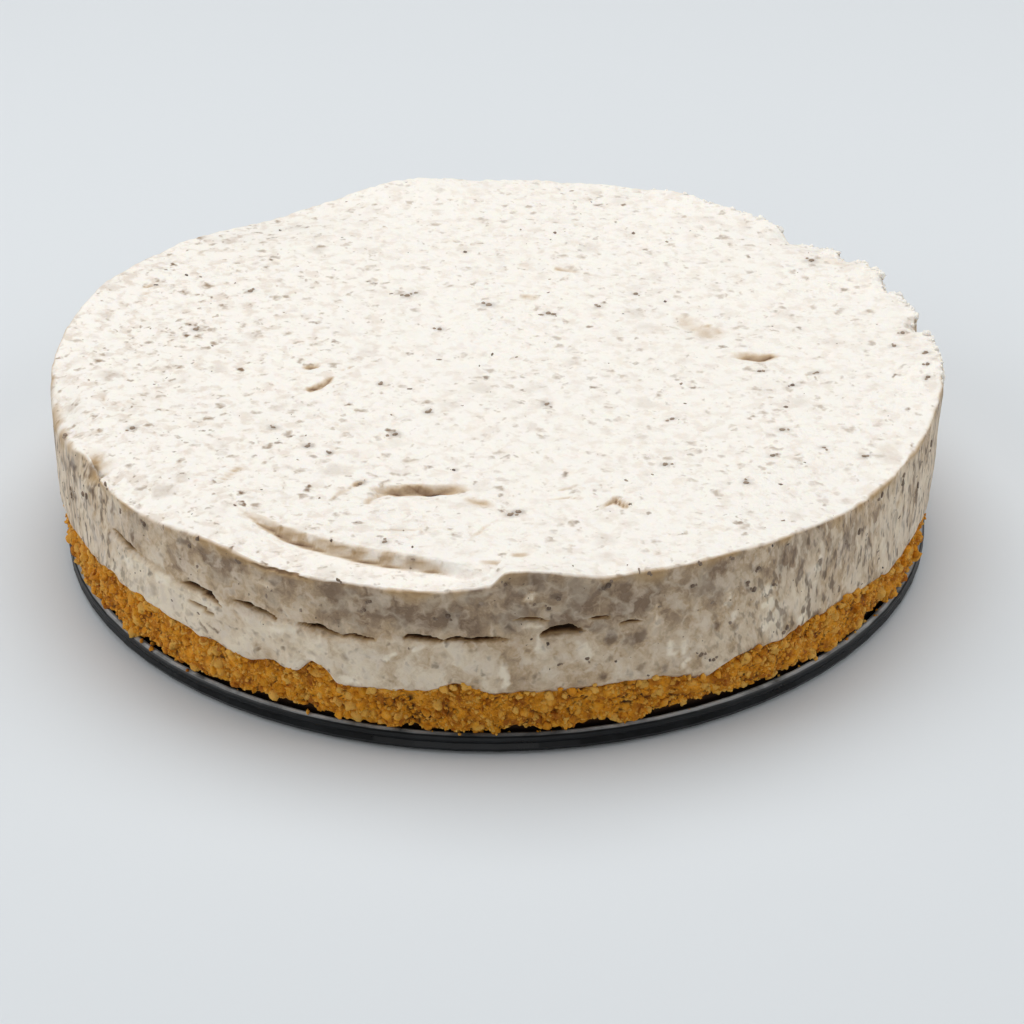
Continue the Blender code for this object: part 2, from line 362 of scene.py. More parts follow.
# The shared form of the cake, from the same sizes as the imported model


@dataclass(frozen=True)
class CakeForm:
    """The driving sizes of the cake and the heights and radii that follow from them.

    The tables hold bearings and half widths in degrees, and everything else in metres.
    """

    radius: float = RADIUS_MM * MM
    top: float = TOP_MM * MM
    base_top: float = 15.5 * MM
    # (bearing, half width, rise, reach inwards)
    rim_waves: tuple[tuple[float, float, float, float], ...] = (
        (-52.0, 22.0, -2.2 * MM, 16 * MM),
        (52.0, 30.0, -2.3 * MM, 24 * MM),
        (3.0, 11.0, 2.6 * MM, 9 * MM),
        (86.0, 8.0, 1.7 * MM, 14 * MM),
        (114.0, 7.0, 1.9 * MM, 10 * MM),
        (130.0, 8.0, -2.0 * MM, 12 * MM),
        (152.0, 7.0, 1.0 * MM, 14 * MM),
        (-168.0, 11.0, 1.2 * MM, 16 * MM),
        (-146.0, 18.0, -3.0 * MM, 22 * MM),
        (-108.0, 18.0, 1.7 * MM, 18 * MM),
    )
    # (bearing, half width, depth, reach inwards)
    rim_tears: tuple[tuple[float, float, float, float], ...] = (
        (99.0, 2.8, 3.6 * MM, 5 * MM),
        (110.5, 2.6, 2.8 * MM, 5 * MM),
        (122.0, 2.2, 1.8 * MM, 4 * MM),
        (132.5, 2.6, 2.6 * MM, 6 * MM),
        (-60.0, 2.6, 1.6 * MM, 5 * MM),
    )
    # (bearing, half width, lean)
    leans: tuple[tuple[float, float, float], ...] = ((86.0, 34.0, 1.0 * MM), (-84.0, 24.0, 0.5 * MM))
    # (bearing, half width, rise)
    join_waves: tuple[tuple[float, float, float], ...] = (
        (-56.0, 28.0, 3.4 * MM),
        (-28.0, 3.6, 1.6 * MM),
        (-22.0, 3.4, 3.6 * MM),
        (-5.0, 4.0, 1.8 * MM),
        (25.5, 5.5, -2.8 * MM),
        (47.0, 13.0, 1.8 * MM),
        (140.0, 16.0, 1.5 * MM),
        (-120.0, 12.0, -1.4 * MM),
    )
    join_flat_radius: float = 92.0 * MM
    shelf_from: float = -39.0
    shelf_to: float = 1.2
    shelf_inner: tuple[float, float] = (85.5 * MM, 92.4 * MM)
    shelf_wall: float = 1.6 * MM
    shelf_depth: float = 2.6 * MM

    def shelf(self, bearing: np.ndarray, radius: np.ndarray) -> tuple[np.ndarray, np.ndarray]:
        """The shelf that a spoon pressed along the front edge.

        Args:
            bearing: Degrees round the cake.
            radius: Distance from the axis.

        Returns:
            How far over the wall each place is, from 0 at its top to 1 at its foot, and how deep the shelf
            is there, from 0 to 1.
        """
        along = np.clip((bearing - self.shelf_from) / (self.shelf_to - self.shelf_from), 0.0, 1.0)
        inner = self.shelf_inner[0] + (self.shelf_inner[1] - self.shelf_inner[0]) * along**0.6
        ends = smooth_step(along / 0.3) * smooth_step((1.0 - along) / 0.05)
        spread = 1.0 + 2.6 * smooth_step((along - 0.78) / 0.16)
        return (radius - inner) / (self.shelf_wall * spread), ends

    def top_height(self, points: np.ndarray) -> np.ndarray:
        """Height of the filling's top without its dents.

        Args:
            points: Rows of x, y and z, of which z isn't read.

        Returns:
            The height at each point.
        """
        bearing, radius = bearing_of(points), np.hypot(points[:, 0], points[:, 1])
        flat = points * np.array((1.0, 1.0, 0.0))
        height = self.top + 0.5 * MM * grain(flat, 34 * MM, 3.1)
        for centre, half_width, rise, reach in self.rim_waves:
            inwards = smooth_step(1.0 - (self.radius - radius) / reach)
            height += rise * swell(bearing, centre, half_width) * inwards
        for centre, half_width, depth, reach in self.rim_tears:
            inwards = smooth_step(1.0 - (self.radius - radius) / reach)
            height -= depth * swell(bearing, centre, half_width) * inwards
        across, ends = self.shelf(bearing, radius)
        return height - self.shelf_depth * ends * smooth_step(across)

    def join_height(self, bearing: np.ndarray, radius: np.ndarray | float) -> np.ndarray:
        """Height of the crumb base's top: flat in the middle, and uneven towards the side.

        Args:
            bearing: Degrees round the cake.
            radius: Distance from the axis.

        Returns:
            The height at each place.
        """
        around = points_at(bearing, self.radius, 0.0)
        edge = self.base_top + 0.8 * MM * grain(around, 9 * MM, 5.3)
        edge += 0.6 * MM * grain(around, 2.6 * MM, 12.1)
        for centre, half_width, rise in self.join_waves:
            edge += rise * swell(bearing, centre, half_width)
        outwards = (radius - self.join_flat_radius) / (self.radius - self.join_flat_radius)
        return self.base_top + (edge - self.base_top) * np.maximum(outwards, 0.0)

    def upright_radius(self, bearing: np.ndarray, height: np.ndarray) -> np.ndarray:
        """Radius of the filling's side with its slow bulges and torn bites.

        Args:
            bearing: Degrees round the cake.
            height: Height above the origin.

        Returns:
            The radius at each place.
        """
        places = points_at(bearing, self.radius, height)
        radius = self.radius + 0.45 * MM * grain(places, 22 * MM, 7.7)
        radius += 0.25 * MM * grain(places, 7 * MM, 1.9)
        rise = smooth_step((height - self.base_top) / (24 * MM))
        for centre, half_width, lean in self.leans:
            radius += lean * rise * swell(bearing, centre, half_width)
        near_top = smooth_step((height - self.top + 12 * MM) / (12 * MM))
        for centre, half_width, depth, _ in self.rim_tears:
            radius -= 0.7 * depth * swell(bearing, centre, half_width) * near_top
        return radius


# Finishes


@dataclass(frozen=True)
class FleckLayer:
    """One size of chocolate seen through the cream. Sizes are in cells, and the cell in mm."""

    cell: float
    share: float
    radius: float
    soft: float
    faintest: float
    strongest: float
    colour: str
    in_side: bool = False


@dataclass(frozen=True)
class CreamFinish:
    """Cream cheese beaten with whipped cream and grated chocolate, set and chilled.

    Its fat scatters light under the skin, so it looks soft and nearly white on the knife-smoothed top. At
    the side the ring has drawn chocolate through it, which greys it and leaves cloudy patches and pale
    veins. The side's ground is browner than the top, partly from that chocolate and partly as painted
    warm bounce light.
    """

    name: str = "set_cream_cheese"
    top_colour: str = "#FBF6EE"
    haze_colour: str = "#D9CBBC"
    pale_colour: str = "#EEE0C9"
    side_colour: str = "#C4AB8B"
    cloud_colour: str = "#8C755E"
    plaster_colour: str = "#FBF0DC"
    # The tan, brown and dark colours paint the shade in hollows and along the rim's edge
    tan_colour: str = "#BC9C6E"
    brown_colour: str = "#6E4A2A"
    dark_colour: str = "#2C1B10"
    scraped_colour: str = "#6F5B48"
    # The smudge colour also paints shade where the tone is below 0
    smudge_colour: str = "#6C5B4C"
    flecks: tuple[FleckLayer, ...] = (
        FleckLayer(7.5, 0.75, 0.52, 0.34, 0.08, 0.26, "#B0A08F"),
        FleckLayer(3.2, 0.85, 0.48, 0.32, 0.12, 0.60, "#A08B74"),
        FleckLayer(1.9, 0.50, 0.44, 0.30, 0.12, 0.50, "#9A846B"),
        FleckLayer(5.0, 0.60, 0.26, 0.16, 0.35, 0.85, "#846C53"),
        FleckLayer(2.7, 0.60, 0.42, 0.26, 0.15, 0.75, "#6B5948", True),
    )

    @staticmethod
    def fleck_cover(tree: bpy.types.NodeTree, vector: bpy.types.Node, layer: FleckLayer) -> bpy.types.Node:
        """Works out where one size of flecks lies, each a soft blob in a random cell.

        Args:
            tree: The material's tree.
            vector: The point in millimetres.
            layer: The flecks' sizes.

        Returns:
            The node that gives how strongly a fleck covers the point.
        """
        field = add_node(tree, "ShaderNodeTexVoronoi", {"Vector": vector, "Scale": 1.0 / layer.cell})
        field = field.outputs
        chance = add_node(tree, "ShaderNodeSeparateColor", {0: field["Color"]}).outputs
        radius = {0: chance[1], 3: 0.45 * layer.radius, 4: layer.radius}
        radius = add_node(tree, "ShaderNodeMapRange", radius)
        inside = add_node(tree, "ShaderNodeMath", {0: radius, 1: field["Distance"]}, operation="SUBTRACT")
        edge = {0: inside, 1: layer.soft}
        edge = add_node(tree, "ShaderNodeMath", edge, operation="DIVIDE", use_clamp=True)
        present = add_node(tree, "ShaderNodeMath", {0: chance[0], 1: layer.share}, operation="LESS_THAN")
        strength = {0: chance[2], 3: layer.faintest, 4: layer.strongest}
        strength = add_node(tree, "ShaderNodeMapRange", strength)
        cover = add_node(tree, "ShaderNodeMath", {0: edge, 1: strength}, operation="MULTIPLY")
        return add_node(tree, "ShaderNodeMath", {0: cover, 1: present}, operation="MULTIPLY")

    def material(self) -> bpy.types.Material:
        """Builds the material.

        Returns:
            The cream's material.
        """
        made, tree, shader = new_material(self.name)
        place = millimetres(tree)
        side, hollow, fresh, drawn, tone = (
            add_node(tree, "ShaderNodeAttribute", attribute_name=mark.value).outputs["Fac"]
            for mark in (Mark.SIDE, Mark.HOLLOW, Mark.FRESH, Mark.DRAWN, Mark.TONE)
        )

        # To the left and right the side's marks are drawn out upwards, as the ring was lifted off
        top = (0.0, 0.0, TOP_MM)
        below_top = add_node(tree, "ShaderNodeVectorMath", {0: place, 1: top}, operation="SUBTRACT")
        upright = add_node(tree, "ShaderNodeMapRange", {0: drawn, 3: 1.0, 4: 0.45})
        stretch = add_node(tree, "ShaderNodeCombineXYZ", {0: 1.0, 1: 1.0, 2: upright})
        skin = add_node(tree, "ShaderNodeVectorMath", {0: below_top, 1: stretch}, operation="MULTIPLY")
        swirl = add_node(tree, "ShaderNodeTexNoise", {"Vector": skin, "Scale": 0.40, "Detail": 2.0})
        swirl = swirl.outputs["Color"]
        swirl = add_node(tree, "ShaderNodeVectorMath", {0: swirl, 1: (0.5, 0.5, 0.5)}, operation="SUBTRACT")
        swirl = add_node(tree, "ShaderNodeVectorMath", {0: swirl, "Scale": 4.2}, operation="SCALE")
        warped = add_node(tree, "ShaderNodeVectorMath", {0: skin, 1: swirl}, operation="ADD")

        # The side's ground: cloudy patches from chocolate grey to pale cream, paler in the fresh plaster, and
        # moved by the tone, which holds painted bounce light and shade as well as smears
        wide = {"Vector": warped, "Scale": 0.15, "Detail": 6.0, "Roughness": 0.66}
        clouds = add_node(tree, "ShaderNodeTexNoise", wide)
        paler = add_node(tree, "ShaderNodeMath", {0: fresh, 1: 0.11}, operation="MULTIPLY")
        marked = add_node(tree, "ShaderNodeMath", {0: tone, 1: 0.30}, operation="MULTIPLY")
        ground = add_node(tree, "ShaderNodeMath", {0: clouds, 1: paler}, operation="ADD")
        ground = add_node(tree, "ShaderNodeMath", {0: ground, 1: marked}, operation="ADD")
        ramp = add_node(tree, "ShaderNodeValToRGB", {0: ground})
        stops = ramp.color_ramp.elements
        stops[0].position, stops[0].color = 0.34, linear(self.cloud_colour)
        stops[1].position, stops[1].color = 0.72, linear(self.pale_colour)
        stops.new(0.50).color = linear(self.side_colour)
        winding = {"Vector": warped, "Scale": 0.11, "Detail": 1.5, "Distortion": 0.2}
        veins = add_node(tree, "ShaderNodeTexNoise", winding)
        ridge = add_node(tree, "ShaderNodeMath", {0: veins, 1: 0.52}, operation="SUBTRACT")
        ridge = add_node(tree, "ShaderNodeMath", {0: ridge}, operation="ABSOLUTE")
        ridge = add_node(tree, "ShaderNodeMapRange", {0: ridge, 1: 0.0, 2: 0.075, 3: 0.38, 4: 0.0})
        # Pale cream smears, with painted highlights among them: glints and the pale lips under the cracks
        smear_and_highlight = add_node(tree, "ShaderNodeMapRange", {0: tone, 1: 0.40, 2: 1.15, 3: 0.0, 4: 0.75})
        layers = [(ridge, self.pale_colour), (smear_and_highlight, self.plaster_colour)]
        # Fine strokes where the ring scraped chocolate upwards
        combed = add_node(tree, "ShaderNodeVectorMath", {0: skin, 1: (1.0, 1.0, 0.9)}, operation="MULTIPLY")
        drag = {"Vector": combed, "Scale": 0.62, "Detail": 2.0, "Roughness": 0.55}
        strokes = add_node(tree, "ShaderNodeTexNoise", drag)
        for start, end, most, shade in (
            (0.54, 0.63, 0.85, self.scraped_colour),
            (0.45, 0.37, 0.60, self.pale_colour),
        ):
            stroke = add_node(tree, "ShaderNodeMapRange", {0: strokes, 1: start, 2: end, 3: 0.0, 4: most})
            stroke = add_node(tree, "ShaderNodeMath", {0: stroke, 1: drawn}, operation="MULTIPLY")
            layers.append((stroke, shade))
        veined = ramp
        for share, shade in layers:
            mixed = {0: share, 6: veined, 7: linear(shade)}
            veined = add_node(tree, "ShaderNodeMix", mixed, data_type="RGBA")
        mixed = {0: side, 6: linear(self.top_colour), 7: veined}
        colour = add_node(tree, "ShaderNodeMix", mixed, data_type="RGBA")

        # Chocolate seen through a thin skin of cream, from wide shadows to specks
        across = add_node(tree, "ShaderNodeSeparateXYZ", {0: place}).outputs["X"]
        thicker = add_node(tree, "ShaderNodeMapRange", {0: across, 1: -95.0, 2: -15.0, 3: 1.95, 4: 1.0})
        haze = add_node(tree, "ShaderNodeTexNoise", {"Vector": warped, "Scale": 0.30, "Detail": 3.0})
        haze = add_node(tree, "ShaderNodeMapRange", {0: haze, 1: 0.50, 2: 0.66, 3: 0.0, 4: 0.34})
        haze = add_node(tree, "ShaderNodeMath", {0: haze, 1: thicker}, operation="MULTIPLY")
        layers = [(haze, self.haze_colour)]
        for layer in self.flecks:
            cover = {0: self.fleck_cover(tree, warped, layer), 1: side if layer.in_side else thicker}
            cover = add_node(tree, "ShaderNodeMath", cover, operation="MULTIPLY", use_clamp=True)
            layers.append((cover, layer.colour))

        # Marks given one by one: dark ones anywhere, as the pale ones are in the ground
        # Below 0 the tone is partly chocolate smudges and partly painted shade: on the upper front of the
        # side and under the slumped rim
        smudge_and_shade = add_node(tree, "ShaderNodeMapRange", {0: tone, 1: 0.0, 2: -1.0, 3: 0.0, 4: 0.52})
        layers.append((smudge_and_shade, self.smudge_colour))

        # Painted shade in dents, cracks, the crease and along the rim's edge: tan, brown where it is deep and
        # nearly black inside
        for start, end, most, shade in (
            (0.02, 0.42, 0.80, self.tan_colour),
            (0.38, 0.70, 0.90, self.brown_colour),
            (0.66, 0.88, 0.92, self.dark_colour),
        ):
            depth = add_node(tree, "ShaderNodeMapRange", {0: hollow, 1: start, 2: end, 3: 0.0, 4: most})
            layers.append((depth, shade))
        for share, shade in layers:
            mixed = {0: share, 6: colour, 7: linear(shade)}
            colour = add_node(tree, "ShaderNodeMix", mixed, data_type="RGBA")

        # Skin: air bubbles and grain of 0.5 to 2 mm, and at the side the plaster's overlapping smears
        fine = {"Vector": skin, "Scale": 0.8, "Detail": 4.0, "Roughness": 0.62}
        fine = add_node(tree, "ShaderNodeTexNoise", fine)
        smears = add_node(tree, "ShaderNodeMath", {0: clouds, 1: side}, operation="MULTIPLY")
        smears = add_node(tree, "ShaderNodeMath", {0: smears, 1: 2.2}, operation="MULTIPLY")
        pits = add_node(tree, "ShaderNodeTexVoronoi", {"Vector": place, "Scale": 0.8}, feature="SMOOTH_F1")
        relief = {0: pits.outputs["Distance"], 1: 0.35}
        relief = add_node(tree, "ShaderNodeMath", relief, operation="MULTIPLY")
        relief = add_node(tree, "ShaderNodeMath", {0: fine, 1: relief}, operation="ADD")
        relief = add_node(tree, "ShaderNodeMath", {0: smears, 1: relief}, operation="ADD")
        relief = {"Strength": 0.8, "Distance": 0.0005, "Height": relief}
        sheen = {0: clouds, 1: 0.3, 2: 0.7, 3: 0.38, 4: 0.56}
        look = {
            "Base Color": colour,
            "Normal": add_node(tree, "ShaderNodeBump", relief),
            "Roughness": add_node(tree, "ShaderNodeMapRange", sheen),
            "Subsurface Weight": 0.25,
            "Subsurface Radius": (1.0, 0.75, 0.5),
            "Subsurface Scale": 0.0016,
            "IOR": 1.42,
            "Specular IOR Level": 0.4,
        }
        fill_inputs(tree, shader, look)
        return made


@dataclass(frozen=True)
class ChocolateFinish:
    """Grated dark chocolate: brittle flakes with a dull break, some of them dusted or coated with cream."""

    dark_colour: str = "#3A2A20"
    middle_colour: str = "#75614F"
    coated_colour: str = "#A3917E"

    def material(self) -> bpy.types.Material:
        """Builds the material.

        Returns:
            The flakes' material.
        """
        made, tree, shader = new_material("grated_dark_chocolate")
        place = millimetres(tree)
        shade = add_node(tree, "ShaderNodeAttribute", attribute_name=Mark.SHADE.value).outputs["Fac"]
        ramp = add_node(tree, "ShaderNodeValToRGB", {0: shade})
        stops = ramp.color_ramp.elements
        stops[0].color = linear(self.dark_colour)
        stops[1].color = linear(self.coated_colour)
        stops.new(0.45).color = linear(self.middle_colour)
        film = add_node(tree, "ShaderNodeTexNoise", {"Vector": place, "Scale": 1.6, "Detail": 3.0})
        film = add_node(tree, "ShaderNodeMapRange", {0: film, 1: 0.45, 2: 0.7, 3: 0.0, 4: 0.5})
        coated = {0: film, 6: ramp, 7: linear(self.coated_colour)}
        coated = add_node(tree, "ShaderNodeMix", coated, data_type="RGBA")
        fill_inputs(tree, shader, {"Base Color": coated, "Roughness": 0.5, "IOR": 1.46})
        return made


@dataclass(frozen=True)
class BiscuitFinish:
    """Digestive biscuit crushed and pressed with butter: golden crumbs and browner crusts, with painted shade
    in the gaps.
    """

    golden_colour: str = "#F4A41E"
    brown_colour: str = "#B3680F"
    pale_colour: str = "#F6BC58"
    gap_colour: str = "#261203"

    def material(self) -> bpy.types.Material:
        """Builds the material.

        Returns:
            The crumbs' material.
        """
        made, tree, shader = new_material("buttered_biscuit_crumb")
        place = millimetres(tree)
        shade, crevice = (
            add_node(tree, "ShaderNodeAttribute", attribute_name=mark.value).outputs["Fac"]
            for mark in (Mark.SHADE, Mark.CREVICE)
        )
        patches = {"Vector": place, "Scale": 0.3, "Detail": 3.0, "Roughness": 0.6}
        patches = add_node(tree, "ShaderNodeTexNoise", patches)
        between = add_node(tree, "ShaderNodeMath", {0: shade, 1: 0.56}, operation="MULTIPLY")
        tone = add_node(tree, "ShaderNodeMath", {0: patches, 1: between}, operation="ADD")
        ramp = add_node(tree, "ShaderNodeValToRGB", {0: tone})
        stops = ramp.color_ramp.elements
        stops[0].position, stops[0].color = 0.46, linear(self.brown_colour)
        stops[1].position, stops[1].color = 1.0, linear(self.pale_colour)
        stops.new(0.70).color = linear(self.golden_colour)
        specks = add_node(tree, "ShaderNodeTexNoise", {"Vector": place, "Scale": 1.5, "Detail": 4.0})
        dark = add_node(tree, "ShaderNodeMapRange", {0: specks, 1: 0.40, 2: 0.28, 3: 0.0, 4: 0.6})
        light = add_node(tree, "ShaderNodeMapRange", {0: specks, 1: 0.58, 2: 0.72, 3: 0.0, 4: 0.6})
        colour = ramp
        # The crevice mark paints shade into the gaps between lumps and under the overhang
        for share, tint in (
            (dark, self.brown_colour),
            (light, self.pale_colour),
            (crevice, self.gap_colour),
        ):
            mixed = {0: share, 6: colour, 7: linear(tint)}
            colour = add_node(tree, "ShaderNodeMix", mixed, data_type="RGBA")
        grit = {"Vector": place, "Scale": 1.7, "Detail": 5.0, "Roughness": 0.7}
        grit = add_node(tree, "ShaderNodeTexNoise", grit)
        rough = {"Strength": 0.9, "Distance": 0.0007, "Height": grit}
        look = {
            "Base Color": colour,
            "Normal": add_node(tree, "ShaderNodeBump", rough),
            "Roughness": add_node(tree, "ShaderNodeMapRange", {0: grit, 3: 0.5, 4: 0.8}),
            "Subsurface Weight": 0.12,
            "Subsurface Radius": (1.0, 0.5, 0.2),
            "Subsurface Scale": 0.001,
            "IOR": 1.45,
            "Specular IOR Level": 0.35,
        }
        fill_inputs(tree, shader, look)
        return made


@dataclass(frozen=True)
class CoatingFinish:
    """Sprayed and baked non-stick coating on pressed steel: near black, satin, with a fine orange peel."""

    coat_colour: str = "#101214"
    rubbed_colour: str = "#222528"
    # The pale colour paints the highlight on the top of the rolled bead
    bead_colour: str = "#C9CED1"

    def material(self) -> bpy.types.Material:
        """Builds the material.

        Returns:
            The coating's material.
        """
        made, tree, shader = new_material("non_stick_coated_steel")
        place = millimetres(tree)
        wipes = {"Vector": place, "Scale": 0.12, "Detail": 5.0, "Roughness": 0.6}
        wipes = add_node(tree, "ShaderNodeTexNoise", wipes)
        rubbed = add_node(tree, "ShaderNodeMapRange", {0: wipes, 1: 0.42, 2: 0.68, 3: 0.0, 4: 0.7})
        mixed = {0: rubbed, 6: linear(self.coat_colour), 7: linear(self.rubbed_colour)}
        colour = add_node(tree, "ShaderNodeMix", mixed, data_type="RGBA")
        # Painted highlight along the top of the rolled bead, fainter towards the front centre and broken up
        # by the wipes
        split = add_node(tree, "ShaderNodeSeparateXYZ", {0: place}).outputs
        bead = add_node(tree, "ShaderNodeMapRange", {0: split["Z"], 1: 4.35, 2: 4.65, 3: 0.0, 4: 1.0})
        aside = add_node(tree, "ShaderNodeMath", {0: split["X"]}, operation="ABSOLUTE")
        aside = add_node(tree, "ShaderNodeMapRange", {0: aside, 1: 6.0, 2: 24.0, 3: 0.35, 4: 1.0})
        bead = add_node(tree, "ShaderNodeMath", {0: bead, 1: aside}, operation="MULTIPLY")
        bead_glint = add_node(tree, "ShaderNodeMapRange", {0: wipes, 1: 0.30, 2: 0.52, 3: 0.2, 4: 1.0})
        bead_glint = add_node(tree, "ShaderNodeMath", {0: bead, 1: bead_glint}, operation="MULTIPLY")
        mixed = {0: bead_glint, 6: colour, 7: linear(self.bead_colour)}
        peel = add_node(tree, "ShaderNodeTexNoise", {"Vector": place, "Scale": 1.8, "Detail": 2.0})
        peel = {"Strength": 0.25, "Distance": 0.00008, "Height": peel}
        satin = {0: wipes, 1: 0.3, 2: 0.7, 3: 0.26, 4: 0.42}
        look = {
            "Base Color": add_node(tree, "ShaderNodeMix", mixed, data_type="RGBA"),
            "Normal": add_node(tree, "ShaderNodeBump", peel),
            "Roughness": add_node(tree, "ShaderNodeMapRange", satin),
            "IOR": 1.5,
            "Specular IOR Level": 0.2,
            "Coat Weight": 0.1,
            "Coat Roughness": 0.16,
        }
        fill_inputs(tree, shader, look)
        return made


@dataclass(frozen=True)
class FloorFinish:
    """A plain pale matt surface."""

    colour: str = "#DADFE3"

    def material(self) -> bpy.types.Material:
        """Builds the material.

        Returns:
            The floor's material.
        """
        made, tree, shader = new_material("pale_matt_floor")
        faint = {"Vector": millimetres(tree), "Scale": 0.02, "Detail": 2.0}
        faint = add_node(tree, "ShaderNodeTexNoise", faint)
        even = add_node(tree, "ShaderNodeMapRange", {0: faint, 3: 0.72, 4: 0.78})
        look = {"Roughness": even, "Base Color": linear(self.colour), "Specular IOR Level": 0.2}
        fill_inputs(tree, shader, look)
        return made


# Grains that Geometry Nodes spread over a surface


def start_tree(name: str, inputs: dict[str, str]) -> tuple[bpy.types.NodeTree, bpy.types.NodeOutputs]:
    """Starts a Geometry Nodes tree whose inputs are its sizes.

    Args:
        name: The tree's name.
        inputs: The kind of each input, by its name.

    Returns:
        The tree, and its inputs as sockets to link from.
    """
    tree = bpy.data.node_groups.new(name, "GeometryNodeTree")
    for label, kind in inputs.items():
        tree.interface.new_socket(label, in_out="INPUT", socket_type=f"NodeSocket{kind}")
    tree.interface.new_socket("Grains", in_out="OUTPUT", socket_type="NodeSocketGeometry")
    return tree, add_node(tree, "NodeGroupInput").outputs


def end_tree(tree: bpy.types.NodeTree, given: bpy.types.NodeOutputs, placed: bpy.types.Node) -> None:
    """Ends a tree: makes placed grains real, and gives each a shape of its own by noise and a finish.

    Args:
        tree: The tree.
        given: The tree's inputs.
        placed: The node that gives the grains as instances.
    """
    real = add_node(tree, "GeometryNodeRealizeInstances", {"Geometry": placed})
    where = add_node(tree, "GeometryNodeInputPosition")
    finer = add_node(tree, "ShaderNodeMath", {0: 1.0, 1: given["Rugged Size"]}, operation="DIVIDE")
    field = add_node(tree, "ShaderNodeTexNoise", {"Vector": where, "Scale": finer, "Detail": 1.0})
    push = {0: field.outputs["Color"], 1: (0.5, 0.5, 0.5)}
    push = add_node(tree, "ShaderNodeVectorMath", push, operation="SUBTRACT")
    for scale in (given["Ruggedness"], 4.0):
        push = add_node(tree, "ShaderNodeVectorMath", {0: push, "Scale": scale}, operation="SCALE")
    rugged = add_node(tree, "GeometryNodeSetPosition", {"Geometry": real, "Offset": push})
    finish = {"Geometry": rugged, "Material": given["Finish"]}
    finish = add_node(tree, "GeometryNodeSetMaterial", finish)
    add_node(tree, "NodeGroupOutput", {0: finish})


def bake_nodes(
    name: str, bearer: bpy.types.Object, tree: bpy.types.NodeTree, values: dict[str, object]
) -> bpy.types.Object:
    """Runs a node tree on an object, keeps what it makes as a plain mesh and removes the object.

    Args:
        name: The new piece's name.
        bearer: The object that the tree runs on.
        tree: The geometry node tree.
        values: What the tree's inputs get, by name.

    Returns:
        The baked piece, linked to the scene.
    """
    modifier = bearer.modifiers.new("grains", "NODES")
    modifier.node_group = tree
    for item in tree.interface.items_tree:
        if item.item_type == "SOCKET" and item.in_out == "INPUT" and item.name in values:
            modifier[item.identifier] = values[item.name]
    bpy.context.view_layer.update()
    graph = bpy.context.evaluated_depsgraph_get()
    mesh = bpy.data.meshes.new_from_object(
        bearer.evaluated_get(graph), preserve_all_data_layers=True, depsgraph=graph
    )
    bearer.modifiers.clear()
    bpy.data.objects.remove(bearer)
    mesh.name = name
    places = np.empty(len(mesh.vertices) * 3, np.float32)
    mesh.vertices.foreach_get("co", places)
    places = inside_box(places.reshape(-1, 3))
    mesh.vertices.foreach_set("co", places.astype(np.float32).ravel())
    mesh.shade_smooth()
    mesh.update()
    return linked(name, mesh)


def labelled(sizes: object) -> dict[str, object]:
    """The values of a dataclass under the names of a tree's inputs, as Rugged Size for rugged_size."""
    return {label.replace("_", " ").title(): value for label, value in vars(sizes).items()}


